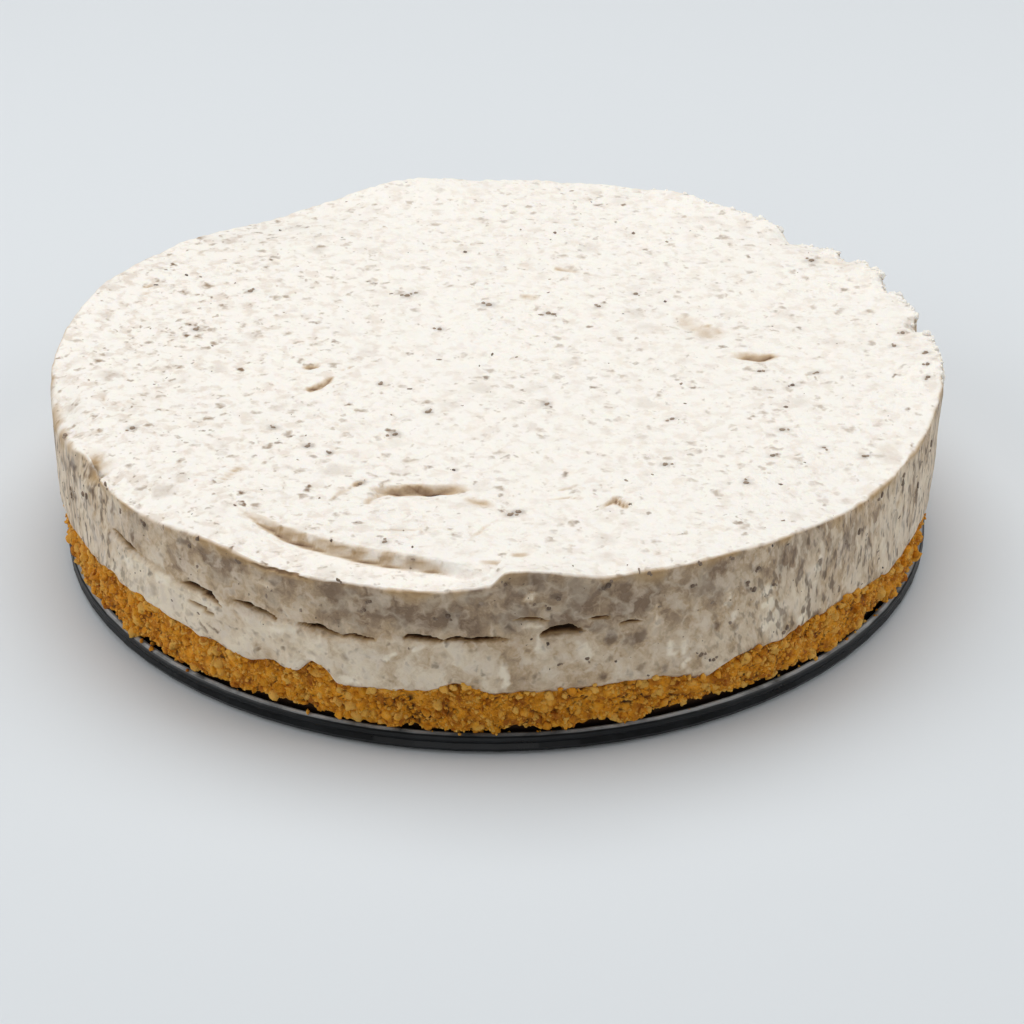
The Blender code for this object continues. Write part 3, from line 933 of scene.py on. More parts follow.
@dataclass(frozen=True)
class Scatter:
    """Grains of one kind, spread over a surface and partly sunk in it.

    The density is in grains per square metre, and the sizes are lengths in metres. The width and thickness
    are shares of the length, the sink a share of half the thickness, and the tilt at most so many radians.
    """

    density: float
    smallest: float
    largest: float
    width: float
    thickness: float
    sink: float
    tilt: float
    ruggedness: float
    rugged_size: float
    seed: int
    detail: int = 1

    @staticmethod
    def tree() -> bpy.types.NodeTree:
        """Builds the node tree.

        Returns:
            The tree, built once and shared by all the scatters.
        """
        name = "spread_grains"
        if name in bpy.data.node_groups:
            return bpy.data.node_groups[name]
        sizes = ("Density", "Smallest", "Largest", "Width", "Thickness", "Sink", "Tilt")
        kinds = {"Surface": "Geometry", "Cover": "String"} | dict.fromkeys(sizes, "Float")
        kinds |= {"Ruggedness": "Float", "Rugged Size": "Float", "Detail": "Int", "Seed": "Int"}
        tree, given = start_tree(name, kinds | {"Finish": "Material"})

        cover = {"Name": given["Cover"]}
        cover = add_node(tree, "GeometryNodeInputNamedAttribute", cover, data_type="FLOAT")
        density = add_node(tree, "ShaderNodeMath", {0: given["Density"], 1: cover}, operation="MULTIPLY")
        spread = {"Mesh": given["Surface"], "Density": density, "Seed": given["Seed"]}
        spread = add_node(tree, "GeometryNodeDistributePointsOnFaces", spread, distribute_method="RANDOM")
        spread = spread.outputs
        # A grain doesn't take on the painted shade, side colour or tone of the place where it lies
        plain = spread["Points"]
        for mark in (Mark.CREVICE, Mark.HOLLOW, Mark.SIDE, Mark.TONE):
            plain = add_node(tree, "GeometryNodeRemoveAttribute", {"Geometry": plain, "Name": mark.value})
        # Small grains are commoner than large ones
        chance = add_node(tree, "FunctionNodeRandomValue", {2: 0.0, 3: 1.0, "Seed": 11}, data_type="FLOAT")
        rarer = add_node(tree, "ShaderNodeMath", {0: chance, 1: 2.0}, operation="POWER")
        size = {0: rarer, 3: given["Smallest"], 4: given["Largest"]}
        size = add_node(tree, "ShaderNodeMapRange", size)
        half = add_node(tree, "ShaderNodeMath", {0: size, 1: 0.5}, operation="MULTIPLY")
        sides = []
        for share, seed in (("Width", 12), ("Thickness", 13)):
            vary = {2: 0.7, 3: 1.3, "Seed": seed}
            vary = add_node(tree, "FunctionNodeRandomValue", vary, data_type="FLOAT")
            part = add_node(tree, "ShaderNodeMath", {0: half, 1: given[share]}, operation="MULTIPLY")
            sides.append(add_node(tree, "ShaderNodeMath", {0: part, 1: vary}, operation="MULTIPLY"))
        scale = add_node(tree, "ShaderNodeCombineXYZ", {0: half, 1: sides[0], 2: sides[1]})
        # Each grain is turned at random, tilted a little and sunk
        down = add_node(tree, "ShaderNodeMath", {0: sides[1], 1: given["Sink"]}, operation="MULTIPLY")
        down = add_node(tree, "ShaderNodeMath", {0: down, 1: -1.0}, operation="MULTIPLY")
        down = {0: spread["Normal"], "Scale": down}
        down = add_node(tree, "ShaderNodeVectorMath", down, operation="SCALE")
        sunk = add_node(tree, "GeometryNodeSetPosition", {"Geometry": plain, "Offset": down})
        lean = {0: (-1.0, -1.0, 0.0), 1: (1.0, 1.0, 0.0), "Seed": 14}
        lean = add_node(tree, "FunctionNodeRandomValue", lean, data_type="FLOAT_VECTOR")
        lean = add_node(tree, "ShaderNodeVectorMath", {0: lean, "Scale": given["Tilt"]}, operation="SCALE")
        twist = {2: 0.0, 3: math.tau, "Seed": 15}
        twist = add_node(tree, "FunctionNodeRandomValue", twist, data_type="FLOAT")
        twist = add_node(tree, "ShaderNodeCombineXYZ", {2: twist})
        turn = add_node(tree, "ShaderNodeVectorMath", {0: lean, 1: twist}, operation="ADD")
        turn = {0: spread["Rotation"], 1: add_node(tree, "FunctionNodeEulerToRotation", {0: turn})}
        turn = add_node(tree, "FunctionNodeRotateRotation", turn, rotation_space="LOCAL")
        shape = {"Radius": 1.0, "Subdivisions": given["Detail"]}
        shape = add_node(tree, "GeometryNodeMeshIcoSphere", shape)
        placed = {"Points": sunk, "Instance": shape, "Rotation": turn, "Scale": scale}
        placed = add_node(tree, "GeometryNodeInstanceOnPoints", placed)
        shade = add_node(tree, "FunctionNodeRandomValue", {2: 0.0, 3: 1.0, "Seed": 16}, data_type="FLOAT")
        shaded = {"Geometry": placed, "Name": Mark.SHADE.value, "Value": shade}
        settings = {"domain": "INSTANCE", "data_type": "FLOAT"}
        end_tree(tree, given, add_node(tree, "GeometryNodeStoreNamedAttribute", shaded, **settings))
        return tree

    def spread(
        self, name: str, surface: bpy.types.Object, cover: Mark, material: bpy.types.Material
    ) -> bpy.types.Object:
        """Spreads the grains over a surface and bakes them to one mesh.

        Args:
            name: The new piece's name.
            surface: The object whose mesh carries the cover values.
            cover: Which value says where the grains lie.
            material: The grains' finish.

        Returns:
            The baked piece, linked to the scene.
        """
        bearer = linked(f"{name}_bearer", surface.data)
        values = {"Cover": cover.value, "Finish": material}
        return bake_nodes(name, bearer, self.tree(), labelled(self) | values)


@dataclass(frozen=True)
class SingleCrumbs:
    """Crumbs that are set one by one, at given places on the skin."""

    thickness: float = 0.55
    ruggedness: float = 0.14 * MM
    rugged_size: float = 0.6 * MM

    @staticmethod
    def tree() -> bpy.types.NodeTree:
        """Builds the node tree, which sets a grain on every point of a mesh.

        Returns:
            The tree, built once and shared.
        """
        name = "set_single_crumbs"
        if name in bpy.data.node_groups:
            return bpy.data.node_groups[name]
        kinds = {"Places": "Geometry", "Thickness": "Float", "Ruggedness": "Float", "Rugged Size": "Float"}
        tree, given = start_tree(name, kinds | {"Finish": "Material"})
        length, slim, turn, facing = (
            add_node(tree, "GeometryNodeInputNamedAttribute", {"Name": label}, data_type=kind)
            for label, kind in (
                ("length", "FLOAT"),
                ("slim", "FLOAT"),
                ("turn", "FLOAT"),
                ("facing", "FLOAT_VECTOR"),
            )
        )
        half = add_node(tree, "ShaderNodeMath", {0: length, 1: 0.5}, operation="MULTIPLY")
        broad = add_node(tree, "ShaderNodeMath", {0: half, 1: slim}, operation="MULTIPLY")
        thick = add_node(tree, "ShaderNodeMath", {0: broad, 1: given["Thickness"]}, operation="MULTIPLY")
        scale = add_node(tree, "ShaderNodeCombineXYZ", {0: half, 1: broad, 2: thick})
        upright = add_node(tree, "FunctionNodeAlignRotationToVector", {"Vector": facing}, axis="Z")
        twist = add_node(tree, "ShaderNodeCombineXYZ", {2: turn})
        turned = {0: upright, 1: add_node(tree, "FunctionNodeEulerToRotation", {0: twist})}
        turned = add_node(tree, "FunctionNodeRotateRotation", turned, rotation_space="LOCAL")
        shape = add_node(tree, "GeometryNodeMeshIcoSphere", {"Radius": 1.0, "Subdivisions": 2})
        placed = {"Points": given["Places"], "Instance": shape, "Rotation": turned, "Scale": scale}
        end_tree(tree, given, add_node(tree, "GeometryNodeInstanceOnPoints", placed))
        return tree

    def place(
        self,
        name: str,
        places: np.ndarray,
        facing: np.ndarray,
        shapes: np.ndarray,
        material: bpy.types.Material,
    ) -> bpy.types.Object:
        """Sets the crumbs and bakes them to one mesh.

        Args:
            name: The new piece's name.
            places: Rows of x, y and z.
            facing: The skin's outward direction at each place.
            shapes: Length in mm, width as a share, turn in degrees and shade, for each crumb.
            material: The crumbs' finish.

        Returns:
            The baked piece, linked to the scene.
        """
        mesh = bpy.data.meshes.new(f"{name}_places")
        mesh.from_pydata(places.tolist(), [], [])
        length, slim, turn, shade = shapes.astype(np.float32).T
        columns = {"length": length * MM, "slim": slim, "turn": np.radians(turn)}
        columns |= {Mark.SHADE.value: shade, "facing": facing}
        for label, values in columns.items():
            store(mesh, label, values)
        bearer = linked(f"{name}_bearer", mesh)
        return bake_nodes(name, bearer, self.tree(), labelled(self) | {"Finish": material})


# The cream filling


@dataclass(frozen=True)
class Dent:
    """An oval mark in the top, steep on one side. Sizes are in mm, and the turn in degrees."""

    x: float
    y: float
    length: float
    width: float
    turn: float
    depth: float
    tint: float
    steep: float = 0.3

    def press(self, x: np.ndarray, y: np.ndarray) -> tuple[np.ndarray, np.ndarray]:
        """Works out the dent at points.

        Args:
            x: The points' x in mm.
            y: The points' y in mm.

        Returns:
            How deep it is in mm, and how much painted shade its steep side gets, from 0 to 1.
        """
        angle = math.radians(self.turn)
        right, back = x - self.x, y - self.y
        along = (right * math.cos(angle) + back * math.sin(angle)) / (self.length / 2)
        across = (-right * math.sin(angle) + back * math.cos(angle)) / self.width
        taper = np.clip(1.0 - along**2, 0.0, 1.0)
        drop = np.where(across > 0.0, smooth_step(1.0 - across / self.steep), smooth_step(1.0 + across))
        brown = np.where(
            across > 0.0, smooth_step(1.0 - across / (1.4 * self.steep)), smooth_step(1.0 + across / 0.5)
        )
        return self.depth * taper * drop, self.tint * np.sqrt(taper) * brown


@dataclass(frozen=True)
class Crack:
    """A crack in the side: an arched, steep upper edge over a floor that comes back out. Heights in mm."""

    start: float
    end: float
    level_start: float
    level_end: float
    arch: float
    height: float
    depth: float
    tint: float

    def open(self, bearing: np.ndarray, height: np.ndarray) -> tuple[np.ndarray, np.ndarray]:
        """Works out the crack at places on the side.

        Args:
            bearing: Degrees round the cake.
            height: Heights in mm.

        Returns:
            How deep it is in mm, and how much painted shade it gets, from 0 to 1.
        """
        share = np.clip((bearing - self.start) / (self.end - self.start), 0.0, 1.0)
        bow = 4.0 * share * (1.0 - share)
        gape = 0.9 * self.height * bow**0.4 + 1e-6
        level = self.level_start + (self.level_end - self.level_start) * share + self.arch * bow
        down = (level + gape / 2 - height) / gape
        inside = (down > 0.0) & (down < 1.0) & (bow > 0.0)
        hole = smooth_step(down / 0.25) * (1.0 - smooth_step((down - 0.4) / 0.6)) * np.sqrt(bow)
        dark = smooth_step(down / 0.10) * (1.0 - smooth_step((down - 0.60) / 0.34)) * bow**0.22
        return np.where(inside, self.depth * hole, 0.0), np.where(inside, self.tint * dark, 0.0)


@dataclass(frozen=True)
class Smear:
    """A pale or dark patch in the side. The length and width are in mm, the turn in degrees from level."""

    bearing: float
    height: float
    length: float
    width: float
    turn: float
    tone: float

    def paint(self, bearing: np.ndarray, height: np.ndarray) -> np.ndarray:
        """Works out the patch at places on the side.

        Args:
            bearing: Degrees round the cake.
            height: Heights in mm.

        Returns:
            Its tone at each place, above 0 for pale and below for dark.
        """
        angle = math.radians(self.turn)
        right, upwards = np.radians(bearing_gap(bearing, self.bearing)) * RADIUS_MM, height - self.height
        along = (right * math.cos(angle) + upwards * math.sin(angle)) / (self.length / 2)
        across = (-right * math.sin(angle) + upwards * math.cos(angle)) / (self.width / 2)
        reach = 1.35 if self.tone > 0.0 else 1.1
        return self.tone * smooth_step(reach - np.hypot(along, across))


# Each row: x, y, length, width, turn, depth, tint of painted shade and, where it isn't 0.3, how gentle the
# steep side is
DENTS = tuple(
    Dent(*row)
    for row in (
        (-16.8, -60.6, 21.0, 4.8, 2.0, 1.7, 0.62, 0.22), (-19.6, -60.6, 10.0, 3.2, 6.0, 0.4, 0.92, 0.4),
        (-13.4, -61.4, 6.4, 3.4, 2.0, 0.5, 1.04, 0.4), (-9.6, -60.4, 8.0, 2.4, -4.0, 0.3, 0.40, 0.5),
        (-25.6, -63.2, 10.0, 2.6, 60.0, 0.8, 0.5), (-8.6, -61.4, 7.0, 2.6, -8.0, 0.5, 0.42),
        (-32.6, -62.0, 11.5, 2.4, 49.0, 0.4, 0.30), (-29.6, -58.6, 2.2, 1.2, 35.0, 0.3, 0.80, 0.6),
        (-3.2, -67.2, 8.0, 4.0, -28.0, 0.5, 0.40), (-57.3, -54.4, 9.0, 2.6, 60.0, 0.6, 0.55),
        (-3.0, -79.4, 7.0, 1.8, 50.0, 0.3, 0.30), (23.8, -68.0, 6.5, 1.8, 62.0, 0.6, 0.55),
        (26.6, -67.6, 6.5, 2.6, -62.0, 0.9, 0.75), (15.2, -61.8, 5.5, 1.3, 28.0, 0.3, 0.38),
        (15.0, -66.2, 8.0, 1.2, 6.0, 0.3, 0.36), (-42.0, -3.6, 4.2, 2.2, 10.0, 0.8, 0.80, 0.5),
        (-39.6, -12.6, 9.0, 2.2, 52.0, 1.0, 0.95, 0.5), (-34.0, -5.0, 3.0, 1.2, 30.0, 0.3, 0.45),
        (8.0, 31.4, 5.2, 2.2, -6.0, 0.7, 0.80, 0.5), (7.0, 48.5, 2.4, 1.4, 0.0, 0.4, 0.60, 0.5),
        (16.3, 46.5, 5.0, 2.0, -10.0, 0.5, 0.60, 0.5), (20.6, 44.6, 9.0, 1.1, -24.0, 0.2, 0.30),
        (47.0, 14.5, 17.0, 6.0, -54.0, 0.9, 0.34, 0.5), (50.4, 14.6, 8.0, 1.4, -56.0, 0.3, 0.60, 0.5),
        (58.8, -0.2, 8.4, 3.8, -6.0, 0.9, 0.80, 0.4), (61.6, -0.5, 5.6, 3.6, -4.0, 0.6, 1.20, 0.4),
        (83.5, 48.5, 14.0, 5.0, -42.0, 0.2, 0.12, 1.0), (95.0, 8.0, 20.0, 4.0, -78.0, 0.2, 0.12, 1.0),
        (-83.5, 36.5, 6.0, 1.6, 88.0, 0.5, 0.70, 0.5), (-92.6, 37.0, 4.0, 1.4, 80.0, 0.3, 0.40),
        (-86.6, -49.6, 6.5, 2.4, -25.0, 0.7, 0.70, 0.5), (-88.0, -20.0, 5.5, 1.6, 88.0, 0.4, 0.40),
        (-20.0, -78.7, 9.0, 0.8, 0.0, 0.2, 0.36, 0.6), (4.8, -89.6, 3.6, 2.4, 10.0, 0.4, 0.50),
        (-1.0, -92.4, 4.0, 2.4, -10.0, 0.4, 0.50),
    )
)

# Each row: start, end, level at the start and at the end, arch, height, depth, tint of painted shade
CRACKS = tuple(
    Crack(*row)
    for row in (
        (-55.0, -49.5, 30.7, 29.6, 0.3, 1.9, 2.0, 0.90),
        (-41.0, -34.6, 28.0, 26.8, 1.3, 2.6, 2.8, 0.98),
        (-39.6, -35.6, 24.9, 23.6, 0.2, 1.4, 1.2, 0.75),
        (-33.0, -26.8, 28.7, 27.3, 0.6, 2.1, 2.6, 0.98),
        (-30.4, -27.4, 28.2, 27.6, 0.1, 1.8, 3.0, 1.00),
        (-24.0, -18.4, 27.6, 27.0, 0.5, 1.7, 2.4, 0.95),
        (-18.9, -14.2, 27.0, 27.1, 0.2, 1.2, 1.8, 0.88), (-11.0, -6.1, 28.2, 27.9, 0.6, 2.0, 2.6, 1.00),
        (-6.2, 1.6, 28.4, 29.1, 0.15, 1.6, 2.6, 1.00), (2.2, 6.1, 33.9, 32.9, 0.2, 1.2, 1.3, 0.78),
        (5.1, 10.3, 29.5, 29.8, 0.8, 3.0, 3.2, 1.00), (10.8, 13.4, 32.4, 32.4, 0.1, 1.3, 1.5, 0.92),
        (14.6, 17.2, 30.6, 30.2, 0.1, 1.3, 1.5, 0.92), (-31.5, -21.5, 38.8, 38.9, 0.2, 1.2, 0.5, 0.62),
    )
)

# Each row: bearing, height, length, width, turn, tone
# Pale rows are partly real cream smears and partly painted highlights, such as the glint at 3.9 degrees and
# the pale lips under the cracks; the dark rows at bearings -61 to -71 paint the shadow under the slumped rim,
# and the other dark rows are patches of chocolate
SMEARS = tuple(
    Smear(*row)
    for row in (
        (3.9, 38.9, 3.8, 2.0, 40.0, 1.0), (-28.5, 35.0, 4.5, 2.0, 5.0, 0.7),
        (-36.7, 25.6, 5.5, 2.0, -28.0, 1.0), (-26.2, 25.6, 7.0, 2.0, 12.0, 0.9),
        (-22.4, 19.8, 4.5, 1.5, 60.0, 1.2), (-17.0, 17.0, 4.0, 1.2, -4.0, 1.2),
        (-12.7, 24.0, 4.0, 1.5, 20.0, 0.9), (-9.2, 26.5, 3.0, 1.2, 20.0, 0.9),
        (-21.0, 24.0, 4.5, 1.5, -80.0, 0.8), (-50.8, 26.0, 4.0, 2.0, 60.0, 0.9),
        (-44.0, 27.0, 5.0, 2.2, -10.0, 0.8), (0.9, 20.3, 8.0, 2.6, -85.0, 0.8),
        (4.9, 28.2, 5.0, 1.4, -80.0, 0.8), (10.5, 24.5, 6.0, 1.4, 75.0, 0.5),
        (19.0, 31.0, 7.0, 1.4, -85.0, 0.7), (28.8, 29.0, 10.0, 1.2, -80.0, 0.8),
        (34.2, 27.8, 9.0, 1.3, -78.0, 0.9), (42.3, 30.0, 11.0, 1.4, 88.0, 0.9),
        (39.8, 18.8, 4.0, 1.5, -80.0, 0.9), (20.9, 22.5, 5.5, 1.4, -70.0, 0.9),
        (22.8, 19.2, 9.0, 1.2, -80.0, 0.8), (34.0, 21.0, 5.0, 1.5, 10.0, 0.8),
        (4.4, 32.1, 4.5, 1.1, 0.0, 0.7), (-29.6, 19.9, 3.2, 2.4, 20.0, -0.8),
        (-44.0, 32.4, 4.0, 1.8, -60.0, -0.7), (-34.0, 38.0, 3.0, 1.4, -30.0, -0.6),
        (-5.8, 34.1, 3.2, 2.2, 20.0, -0.8), (-15.2, 34.6, 2.4, 1.6, 60.0, -0.6),
        (19.7, 17.4, 3.4, 2.6, 0.0, -0.8), (12.9, 18.2, 2.8, 2.4, -20.0, -0.8),
        (13.4, 27.4, 5.5, 2.2, 85.0, -0.7), (17.0, 26.6, 4.2, 2.4, 60.0, -0.7),
        (22.6, 30.4, 3.6, 2.6, 0.0, -0.5), (26.9, 25.1, 3.6, 3.0, 30.0, -0.6),
        (25.2, 18.6, 3.0, 1.8, 30.0, -0.7), (23.5, 20.5, 4.4, 1.6, 25.0, -0.6),
        (29.6, 24.0, 2.6, 2.0, 0.0, -0.6), (35.3, 24.8, 3.4, 1.6, 20.0, -0.7),
        (37.4, 18.0, 4.4, 1.8, 80.0, -1.0), (31.9, 31.3, 3.0, 2.2, 50.0, -0.9),
        (32.5, 35.9, 2.4, 2.0, 0.0, -0.7), (23.6, 36.3, 2.2, 1.6, 0.0, -0.6),
        (12.9, 40.0, 3.0, 2.0, -20.0, -0.9), (7.1, 38.4, 3.0, 2.2, -30.0, -0.8),
        (6.1, 35.9, 2.4, 1.8, 0.0, -0.9), (1.1, 41.6, 2.0, 1.6, 0.0, -0.7),
        (-1.7, 37.0, 2.6, 2.0, 40.0, -0.7), (4.0, 25.4, 4.6, 1.8, -80.0, -0.7),
        (7.4, 22.4, 2.4, 1.6, 0.0, -0.5), (-0.9, 20.0, 2.4, 1.8, 0.0, -0.6),
        (-61.8, 39.5, 5.5, 3.4, 20.0, -1.4), (-61.0, 35.6, 3.2, 2.2, 0.0, -1.2),
        (-66.5, 37.0, 5.0, 2.2, 60.0, -1.2), (-57.4, 36.0, 4.0, 1.6, 80.0, -1.0),
        (-54.6, 36.7, 4.4, 1.6, 80.0, -1.0), (-70.5, 33.0, 5.0, 1.8, 75.0, -1.0),
        (-47.2, 38.1, 3.6, 1.4, 80.0, -0.9), (-40.4, 38.8, 5.0, 1.6, 5.0, -1.0),
        (-31.4, 39.4, 5.0, 1.4, 0.0, -1.0), (3.7, 43.2, 5.5, 2.0, -15.0, -1.3),
    )
)

# Single crumbs of chocolate on the top: (x, y and length in mm, width as a share, turn in degrees, shade)
TOP_CRUMBS = (
    (11.5, -23.5, 2.4, 0.5, 60.0, 0.75),
    (-15.0, -27.0, 2.2, 0.7, 20.0, 0.70),
    (-22.0, -37.0, 2.4, 0.6, 50.0, 0.60),
    (-49.0, -33.0, 1.8, 0.6, 10.0, 0.75),
    (-41.0, -42.0, 2.2, 0.6, 40.0, 0.65),
    (-36.0, -45.0, 1.6, 0.7, 0.0, 0.60),
    (-9.0, -53.5, 1.2, 0.7, 0.0, 0.05),
    (-80.0, -33.5, 2.2, 0.7, 20.0, 0.65),
    (-95.0, -33.0, 1.8, 0.8, 0.0, 0.55),
    (36.5, -51.5, 2.2, 0.6, 60.0, 0.70),
    (53.5, -59.5, 2.0, 0.6, 0.0, 0.60),
    (39.0, -30.5, 1.8, 0.6, 30.0, 0.70),
    (60.0, -47.5, 1.8, 0.7, -20.0, 0.60),
    (63.0, -36.0, 2.2, 0.6, 0.0, 0.85),
    (71.5, -43.5, 1.6, 0.6, 0.0, 0.60),
    (80.0, -46.0, 1.8, 0.6, 10.0, 0.65),
    (67.0, -15.0, 1.7, 0.7, 0.0, 0.10),
    (73.0, -9.0, 1.8, 0.6, 0.0, 0.65),
    (60.0, -8.0, 1.8, 0.5, 0.0, 0.60),
    (-70.0, 15.5, 2.4, 0.6, -20.0, 0.70),
    (-58.5, 35.0, 2.0, 0.7, 0.0, 0.70),
    (-21.0, 33.0, 2.4, 0.6, 0.0, 0.75),
    (-19.0, 34.5, 1.8, 0.6, 0.0, 0.75),
    (-13.0, 15.0, 1.8, 0.7, 0.0, 0.65),
    (12.5, 22.5, 2.0, 0.7, 0.0, 0.70),
    (13.8, 21.9, 1.6, 0.7, 0.0, 0.60),
    (-1.5, 27.5, 2.6, 0.6, 20.0, 0.80),
    (-26.0, -13.0, 1.8, 0.6, 0.0, 0.70),
    (24.5, 26.0, 1.9, 0.6, 0.0, 0.65),
    (33.5, 33.0, 1.8, 0.7, 0.0, 0.65),
    (77.0, 50.5, 2.2, 0.7, 0.0, 0.65),
    (3.0, -73.0, 2.2, 0.7, 10.0, 0.70),
    (4.8, -71.8, 2.0, 0.8, 0.0, 0.65),
    (-23.0, -84.0, 1.8, 0.6, 20.0, 0.65),
    (-28.8, -58.2, 1.8, 0.6, 30.0, 0.50),
    (-17.0, -90.0, 1.6, 0.6, 0.0, 0.65),
    (94.8, 10.9, 1.8, 0.7, 40.0, 0.65),
    (91.9, 3.7, 1.8, 0.7, 60.0, 0.65),
    (98.6, -1.5, 1.9, 0.7, 50.0, 0.55),
    (98.1, -8.5, 1.6, 0.7, 40.0, 0.60),
    (97.7, -13.4, 1.6, 0.7, 30.0, 0.60),
)

# Single crumbs of chocolate in the side: (bearing, height and length in mm, width as a share, turn, shade)
SIDE_CRUMBS = (
    (-5.6, 34.3, 1.6, 0.8, 0.0, 0.10),
    (13.1, 40.2, 1.7, 0.8, 0.0, 0.05),
    (12.5, 39.6, 1.3, 0.8, 40.0, 0.15),
    (6.1, 35.9, 1.3, 0.8, 0.0, 0.15),
    (7.2, 38.1, 1.5, 0.8, 20.0, 0.25),
    (1.1, 42.0, 1.2, 0.8, 0.0, 0.30),
    (32.0, 31.4, 1.9, 0.6, 50.0, 0.10),
    (32.6, 36.0, 1.4, 0.7, 0.0, 0.20),
    (31.1, 33.5, 1.3, 0.7, 0.0, 0.25),
    (23.6, 36.3, 1.3, 0.7, 0.0, 0.25),
    (35.1, 30.5, 1.3, 0.7, 0.0, 0.25),
    (37.4, 18.6, 2.0, 0.5, 80.0, 0.15),
    (26.7, 16.9, 1.2, 0.7, 0.0, 0.25),
    (25.0, 18.9, 1.7, 0.6, 30.0, 0.30),
    (10.6, 23.2, 1.2, 0.7, 0.0, 0.35),
    (7.3, 22.3, 1.1, 0.7, 0.0, 0.35),
    (-14.8, 36.1, 1.3, 0.7, 0.0, 0.25),
    (-15.5, 33.9, 1.2, 0.7, 60.0, 0.25),
    (-7.1, 33.5, 1.1, 0.7, 0.0, 0.25),
    (-37.8, 41.0, 1.4, 0.7, 0.0, 0.20),
    (-39.2, 38.4, 1.4, 0.7, 0.0, 0.30),
    (-47.3, 38.2, 1.7, 0.7, 70.0, 0.20),
    (-50.7, 30.5, 1.6, 0.6, 0.0, 0.15),
    (-31.8, 38.8, 1.4, 0.7, 0.0, 0.30),
    (-18.6, 40.1, 1.2, 0.7, 0.0, 0.30),
    (-56.0, 41.0, 1.6, 0.7, 20.0, 0.40),
    (-58.5, 38.5, 1.5, 0.6, 60.0, 0.45),
    (-52.5, 37.0, 1.4, 0.6, 70.0, 0.45),
    (28.9, 40.2, 1.3, 0.6, 0.0, 0.30),
    (18.0, 41.5, 1.2, 0.7, 0.0, 0.25),
    (24.5, 41.2, 1.2, 0.7, 0.0, 0.30),
    (50.0, 33.0, 2.2, 0.4, 80.0, 0.25),
    (55.0, 38.0, 2.2, 0.4, 80.0, 0.20),
    (61.0, 36.0, 2.4, 0.4, 85.0, 0.25),
    (67.0, 30.0, 2.2, 0.4, 85.0, 0.20),
    (72.0, 36.0, 2.4, 0.4, 85.0, 0.25),
    (-62.0, 33.0, 2.4, 0.4, 85.0, 0.25),
    (-68.0, 28.0, 2.2, 0.4, 85.0, 0.25),
)


